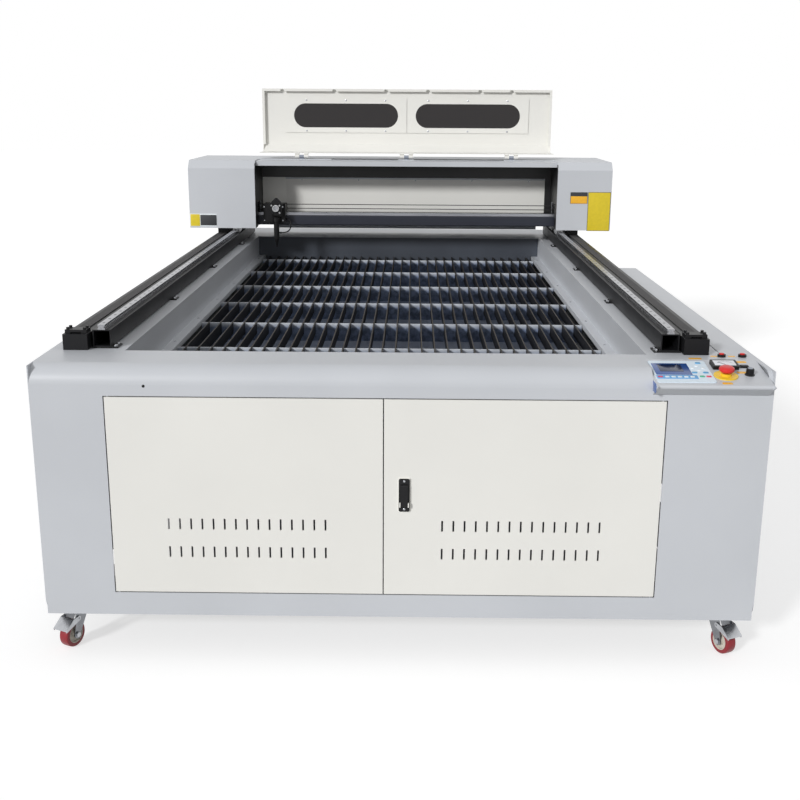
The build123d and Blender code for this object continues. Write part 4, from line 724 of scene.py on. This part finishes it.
class CUTTER_OT_doors(bpy.types.Operator):
    """Black latch plate, its screws and the small plug in the nose"""

    bl_idname = "cutter.doors"
    bl_label = "Doors and nose"

    def execute(self, context):
        low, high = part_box("latch_handle")
        x, y, z = (low.x + high.x) / 2, FRONT_Y - 0.005, 0.475
        face = (0.0294, 0.0924, 0.0008, 0.005, 0.0004)
        pads("latch_face", [(x, y, z)], face, FRONT, RIGHT, "plastic", "right_door", -0.0002)
        heads = [(x, y - 0.0006, z + k * 0.039) for k in (-1, 1)]
        screws("latch_screws", heads, FRONT, 0.0028, 0.0012, "right_door")
        plug = [(0, 0.0016), (0.003, 0.0014), (0.0045, 0.0006), (0.005, 0.0), (0, 0)]
        plug_place = (-0.632, FRONT_Y + 0.0008, 0.766)
        turned("nose_plug", plug, plug_place, FRONT, "plastic", "frame", 24)
        return {"FINISHED"}


def bolt_caps(name, spots, radius, body):
    """Flat dark caps that fill the bolt holes along the top of a guide rail."""
    rim, thick = radius + 0.0004, 0.0004
    cap = [(0, 0.0002), (radius, 0.0002), (rim, 0.0001), (rim, -thick), (0, -thick)]
    turned(name, cap, spots, UP, "dark_print", body, 12)


class CUTTER_OT_bed(bpy.types.Operator):
    """Bolts along the guide rails, their feet and the bed's side strips"""

    bl_idname = "cutter.bed"
    bl_label = "Rails and bed"

    def execute(self, context):
        _, sizes = settings()
        low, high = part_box("guide_rails")
        rail_x, foot_x, strip_x = 0.783, 0.749, 0.6978
        rail_y = np.arange(low.y + 0.03, high.y - 0.02, sizes.rail_bolt_pitch)
        caps = [(BED_X + side * rail_x, y, high.z) for side in (-1, 1) for y in rail_y]
        bolt_caps("rail_bolt_caps", caps, 0.0042, "frame")
        foot_pitch, foot_top = 0.775, 0.822
        bolts = [
            (BED_X + side * foot_x, FRONT_Y + 0.215 + foot_pitch * index + k, foot_top)
            for side in (-1, 1) for index in range(4) for k in (0.012, 0.038)
        ]
        screws("foot_bolts", bolts, UP, 0.0055, 0.005, "frame")
        strip = [
            (BED_X + side * strip_x, FRONT_Y + 0.35 + 0.4 * k, 0.724)
            for side in (-1, 1) for k in range(7)
        ]
        screws("strip_screws", strip, UP, sizes.screw_radius, 0.002, "frame")
        return {"FINISHED"}


class CUTTER_OT_gantry(bpy.types.Operator):
    """Plain plates, screws, seals and beam details of the gantry"""

    bl_idname = "cutter.gantry"
    bl_label = "Gantry"

    def execute(self, context):
        _, sizes = settings()
        thick = 0.0008
        plates = [
            ("left_plate", -0.944, 0.93, 0.128, 0.06, 0.0, "key_white"),
            ("left_plate_patch", -0.984, 0.93, 0.045, 0.056, thick, "yellow_plate"),
            ("left_plate_block", -0.92, 0.93, 0.078, 0.05, thick, "dark_print"),
            ("right_plate", 0.8555, 1.047, 0.082, 0.054, 0.0, "dark_print"),
            ("right_plate_face", 0.8555, 1.038, 0.078, 0.034, thick, "orange_plate"),
            ("right_tall_plate", 0.953, 0.983, 0.108, 0.184, 0.0, "dark_print"),
            ("right_tall_face", 0.953, 0.983, 0.104, 0.18, thick, "yellow_plate"),
        ]
        for name, x, z, width, height, lift, finish_name in plates:
            slab = (width, height, thick, 0.002, PLATE_EDGE)
            pads(name, [(x, HOOD_Y, z)], slab, FRONT, RIGHT, finish_name, "gantry", lift)

        hood_low, hood_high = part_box("gantry_hood")
        for name, x, length in (("left_seal", -0.173, 0.326), ("right_seal", 0.2845, 0.439)):
            seal = (length, 0.009, 0.003, 0.002, 0.001)
            pads(name, [(x, 1.118, hood_high.z)], seal, UP, RIGHT, "soft_black", "gantry")

        low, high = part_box("inner_panel")
        wall_gap, fold = 0.003, 0.008
        end_width = low.x - hood_low.x - wall_gap
        end_place = (low.x - end_width / 2, high.y, (low.z + high.z) / 2)
        end = (end_width, high.z - low.z, high.y - low.y, 0.001, 0.0005)
        pads("panel_end", [end_place], end, FRONT, RIGHT, "pale", "gantry")
        # The fold takes the grey body coat rather than the panel's pale coat: painted shade along
        # the panel's folded top.
        fold_place = ((low.x + high.x) / 2, low.y, high.z - fold / 2)
        fold_bar = (high.x - low.x, fold, fold, 0.001, 0.0008)
        pads("panel_fold", [fold_place], fold_bar, FRONT, RIGHT, "body", "gantry")
        heads = [(x, low.y, high.z - 0.012) for x in np.linspace(low.x + 0.08, high.x - 0.08, 5)]
        screws("panel_screws", heads, FRONT, 0.0035, 0.0018, "gantry")

        low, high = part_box("x_guide_rail")
        middle_y = (low.y + high.y) / 2
        caps = [(x, middle_y, high.z) for x in np.arange(-0.66, 0.73, sizes.rail_bolt_pitch)]
        bolt_caps("beam_bolt_caps", caps, 0.0032, "gantry")
        return {"FINISHED"}


class CUTTER_OT_lid(bpy.types.Operator):
    """Screws round the two windows of the hinged lid"""

    bl_idname = "cutter.lid"
    bl_label = "Lid"

    def execute(self, context):
        _, sizes = settings()
        low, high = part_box("window_frames")
        middle_x, middle_z, window_x = 0.0295, (low.z + high.z) / 2, 0.304
        heads = [
            (middle_x + side * window_x + x, low.y, middle_z + z)
            for side in (-1, 1) for x in (-0.197, 0.0, 0.197) for z in (-0.074, 0.074)
        ]
        screws("window_screws", heads, FRONT, sizes.screw_radius, 0.0018, "lid")
        return {"FINISHED"}


def hose_line(route, radius):
    """Hose as a smooth line through the route's control points, with a round section."""
    curve = bpy.data.curves.new("air_hose_line", "CURVE")
    curve.dimensions = "3D"
    curve.bevel_depth = radius
    curve.bevel_resolution = 4
    curve.use_fill_caps = True
    line = curve.splines.new("NURBS")
    line.points.add(len(route) - 1)
    line.points.foreach_set("co", np.column_stack([route, np.ones(len(route))]).ravel())
    line.order_u = 3
    line.use_endpoint_u = True
    line.resolution_u = 12
    hose = bpy.data.objects.new("air_hose_line", curve)
    bpy.context.scene.collection.objects.link(hose)
    curve.materials.append(FINISH["hose"])
    return hose


class CUTTER_OT_head(bpy.types.Operator):
    """Air hose of the cutting head, and the mirror, knobs and screws round it"""

    bl_idname = "cutter.head"
    bl_label = "Cutting head"

    def execute(self, context):
        _, sizes = settings()
        route = [
            (-0.5727, 1.004, 0.868), (-0.53, 1.004, 0.868),
            (-0.53, 1.029, 0.935), (-0.556, 1.029, 0.935),
        ]
        hose = hose_line(route, sizes.hose_radius)
        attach(hose, "carriage")
        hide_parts("air_hose")

        low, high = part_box("mirror_mount")
        middle, mirror_z = (low.x + high.x) / 2, 0.986
        mirror_place = (middle, low.y + 0.0002, mirror_z)
        ring = [
            (0.0105, 0.0), (0.0165, 0.0), (0.0165, 0.004), (0.0155, 0.005),
            (0.0115, 0.005), (0.0105, 0.004), (0.0105, 0.0),
        ]
        turned("mirror_ring", ring, mirror_place, FRONT, "silver", "carriage")
        glass = [(0, 0.0016), (0.0102, 0.0016), (0.0104, 0.0), (0, 0)]
        turned("mirror_glass", glass, mirror_place, FRONT, "zinc", "carriage")
        spread, upper, lower = 0.0195, mirror_z + 0.014, mirror_z - 0.02
        corners = [(-spread, upper), (spread, upper), (spread, lower)]
        knobs = [(middle + across, low.y, z) for across, z in corners]
        knob = [
            (0, 0.009), (0.0035, 0.009), (0.0042, 0.0082), (0.0042, 0.002),
            (0.0022, 0.0018), (0.0022, 0), (0, 0),
        ]
        turned("mirror_knobs", knob, knobs, FRONT, "silver", "carriage", 20)
        low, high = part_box("carriage")
        heads = [
            (x, low.y, z)
            for x in (low.x + 0.008, high.x - 0.008) for z in (low.z + 0.01, high.z - 0.01)
        ]
        screws("carriage_screws", heads, FRONT, 0.0034, 0.002, "carriage")
        return {"FINISHED"}


class CUTTER_OT_casters(bpy.types.Operator):
    """Turned treads, cores and axle nuts of the four casters"""

    bl_idname = "cutter.casters"
    bl_label = "Casters"

    def execute(self, context):
        joints = {joint["name"]: joint for joint in frame["joints"]}
        tread_half = [(0.0262, 0.0145), (0.0345, 0.0142), (0.0368, 0.012), (0.0375, 0.006)]
        core_half = [
            (0.00605, 0.0148), (0.010, 0.0148), (0.0115, 0.0136), (0.0125, 0.0082),
            (0.0215, 0.0078), (0.0238, 0.0138), (0.0264, 0.0142),
        ]
        tread, core = mirrored_profile(tread_half), mirrored_profile(core_half)
        nut = [(0, 0.0052), (0.0068, 0.0052), (0.0082, 0.0042), (0.0082, 0), (0, 0)]
        nut_reach = 0.0205
        for corner in CORNERS:
            wheel, fork = corner + "_wheel", corner + "_fork"
            roll = joints[corner + "_roll"]
            centre, axis = np.array(roll["pos_m"]), np.array(roll["axis"])
            made = turned(corner + "_tread", tread, centre, axis, "wheel", wheel, 48, along=UP)
            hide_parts(wheel)
            turned(corner + "_core", core, centre, axis, "wheel_core", wheel, along=UP)
            for side, end in ((-1, "a"), (1, "b")):
                spot, outward = centre + axis * side * nut_reach, axis * side
                turned(f"{corner}_nut_{end}", nut, spot, outward, "zinc", fork, 36, 6, UP)
        return {"FINISHED"}


# Stage: camera as fitted to the machine, then lamp, world and floor
CAMERA_PLACE = (0.062, -4.3727, 1.4758)
CAMERA_PITCH, CAMERA_YAW, CAMERA_ROLL = np.radians((15.05, -0.59, -0.34))
CAMERA_LENS, CAMERA_SENSOR = 49.55, 36
SUN_STRENGTH, SUN_SPREAD, SUN_WAY = 2.15, math.radians(8), (0.5, 0.7, -0.38)
WORLD_STRENGTH = 0.45
FLOOR_GREY, FLOOR_GLOW = 0.5, 0.62
# Middle and half sizes of the patch under the machine that doesn't glow
FOOTPRINT_Y, FOOTPRINT_HALF = 0.19, (("X", 0.915), ("Y", 1.43))


def place_camera(scene):
    """Camera of the photo: its axes are worked out from pitch, yaw and roll."""
    ahead = np.array((
        math.sin(CAMERA_YAW) * math.cos(CAMERA_PITCH),
        math.cos(CAMERA_YAW) * math.cos(CAMERA_PITCH),
        -math.sin(CAMERA_PITCH),
    ))
    level = np.array((math.cos(CAMERA_YAW), -math.sin(CAMERA_YAW), 0.0))
    down = np.cross(ahead, level)
    right = level * math.cos(CAMERA_ROLL) + down * math.sin(CAMERA_ROLL)
    up = level * math.sin(CAMERA_ROLL) - down * math.cos(CAMERA_ROLL)
    turn = np.eye(4)
    turn[:3] = np.column_stack([right, up, -ahead, CAMERA_PLACE])
    camera = bpy.data.objects.new("camera", bpy.data.cameras.new("camera"))
    scene.collection.objects.link(camera)
    camera.matrix_world = Matrix(turn.tolist())
    camera.data.sensor_width = CAMERA_SENSOR
    camera.data.lens = CAMERA_LENS
    camera.data.clip_end = 200
    scene.camera = camera


def rays_seen(tree, *kinds):
    """One where a ray is of any of the named kinds, and nought elsewhere."""
    path = tree.nodes.new("ShaderNodeLightPath")
    seen = path.outputs[kinds[0]]
    for kind in kinds[1:]:
        seen = combine(tree, "MAXIMUM", seen, path.outputs[kind])
    return seen


def lay_floor(scene, size):
    """Pale floor that glows for camera and mirror rays, but not under the machine."""
    half = size / 2
    mesh = bpy.data.meshes.new("floor")
    corners = [(-half, -half, 0), (half, -half, 0), (half, half, 0), (-half, half, 0)]
    mesh.from_pydata(corners, [], [(0, 1, 2, 3)])
    floor = bpy.data.objects.new("floor", mesh)
    scene.collection.objects.link(floor)
    made, tree, shader = material("floor_paper", (FLOOR_GREY,) * 3, 0.9)
    across = tree.nodes.new("ShaderNodeMapping")
    across.inputs["Location"].default_value = (0, -FOOTPRINT_Y, 0)
    distance = tree.nodes.new("ShaderNodeVectorMath")
    distance.operation = "ABSOLUTE"
    tree.links.new(object_place(tree), across.inputs["Vector"])
    tree.links.new(across.outputs["Vector"], distance.inputs[0])
    axes = axes_of(tree, distance.outputs["Vector"])
    past = [combine(tree, "GREATER_THAN", axes[axis], reach) for axis, reach in FOOTPRINT_HALF]
    outside = combine(tree, "MAXIMUM", *past)
    shown = combine(tree, "MULTIPLY", rays_seen(tree, "Is Camera Ray", "Is Glossy Ray"), outside)
    glow = combine(tree, "MULTIPLY", shown, FLOOR_GLOW)
    tree.links.new(glow, shader.inputs["Emission Strength"])
    shader.inputs["Emission Color"].default_value = (1, 1, 1, 1)
    mesh.materials.append(made)


def light_world(scene):
    """White surroundings: full to the eye, in glass and in metal, and dimmer as a lamp."""
    world = bpy.data.worlds.new("studio")
    scene.world = world
    world.use_nodes = True
    tree = world.node_tree
    seen = rays_seen(tree, "Is Camera Ray", "Is Transmission Ray", "Is Glossy Ray")
    backdrop = tree.nodes["Background"]
    backdrop.inputs["Color"].default_value = (1, 1, 1, 1)
    tree.links.new(between(tree, seen, WORLD_STRENGTH, 1.0), backdrop.inputs["Strength"])


def hang_sun(scene):
    """Soft lamp from the front left, low enough to reach in under the hood."""
    lamp = bpy.data.lights.new("sun", "SUN")
    lamp.energy = SUN_STRENGTH
    lamp.angle = SUN_SPREAD
    sun = bpy.data.objects.new("sun", lamp)
    sun.rotation_euler = Vector(SUN_WAY).to_track_quat("-Z", "Y").to_euler()
    scene.collection.objects.link(sun)


class CUTTER_OT_stage(bpy.types.Operator):
    """Camera, floor, world, lamp and finishes"""

    bl_idname = "cutter.stage"
    bl_label = "Stage"

    def execute(self, context):
        _, sizes = settings()
        scene = context.scene
        scene.view_settings.view_transform = "Standard"
        place_camera(scene)
        lay_floor(scene, sizes.floor_size)
        light_world(scene)
        hang_sun(scene)
        make_finishes()
        finish_nodes()
        return {"FINISHED"}


class CUTTER_PT_panel(bpy.types.Panel):
    """Buttons for each group of pieces, and the sizes and colours"""

    bl_idname = "CUTTER_PT_panel"
    bl_label = "Laser cutter"
    bl_space_type = "VIEW_3D"
    bl_region_type = "UI"
    bl_category = "Laser cutter"

    def draw(self, context):
        for operator in OPERATORS:
            self.layout.operator(operator.bl_idname)
        for group in settings():
            for name in group.__annotations__:
                self.layout.prop(group, name)


OPERATORS = (
    CUTTER_OT_stage, CUTTER_OT_head, CUTTER_OT_console, CUTTER_OT_doors, CUTTER_OT_bed,
    CUTTER_OT_gantry, CUTTER_OT_lid, CUTTER_OT_casters,
)
CLASSES = (CutterColours, CutterSizes, *OPERATORS, CUTTER_PT_panel)


def register():
    for item in CLASSES:
        bpy.utils.register_class(item)
    bpy.types.Scene.cutter_colours = PointerProperty(type=CutterColours)
    bpy.types.Scene.cutter_sizes = PointerProperty(type=CutterSizes)


def unregister():
    del bpy.types.Scene.cutter_colours
    del bpy.types.Scene.cutter_sizes
    for item in reversed(CLASSES):
        bpy.utils.unregister_class(item)


def main():
    """Register the classes and make each group in turn."""
    register()
    for operator in OPERATORS:
        group, name = operator.bl_idname.split(".")
        getattr(getattr(bpy.ops, group), name)()


if __name__ == "__main__":
    main()
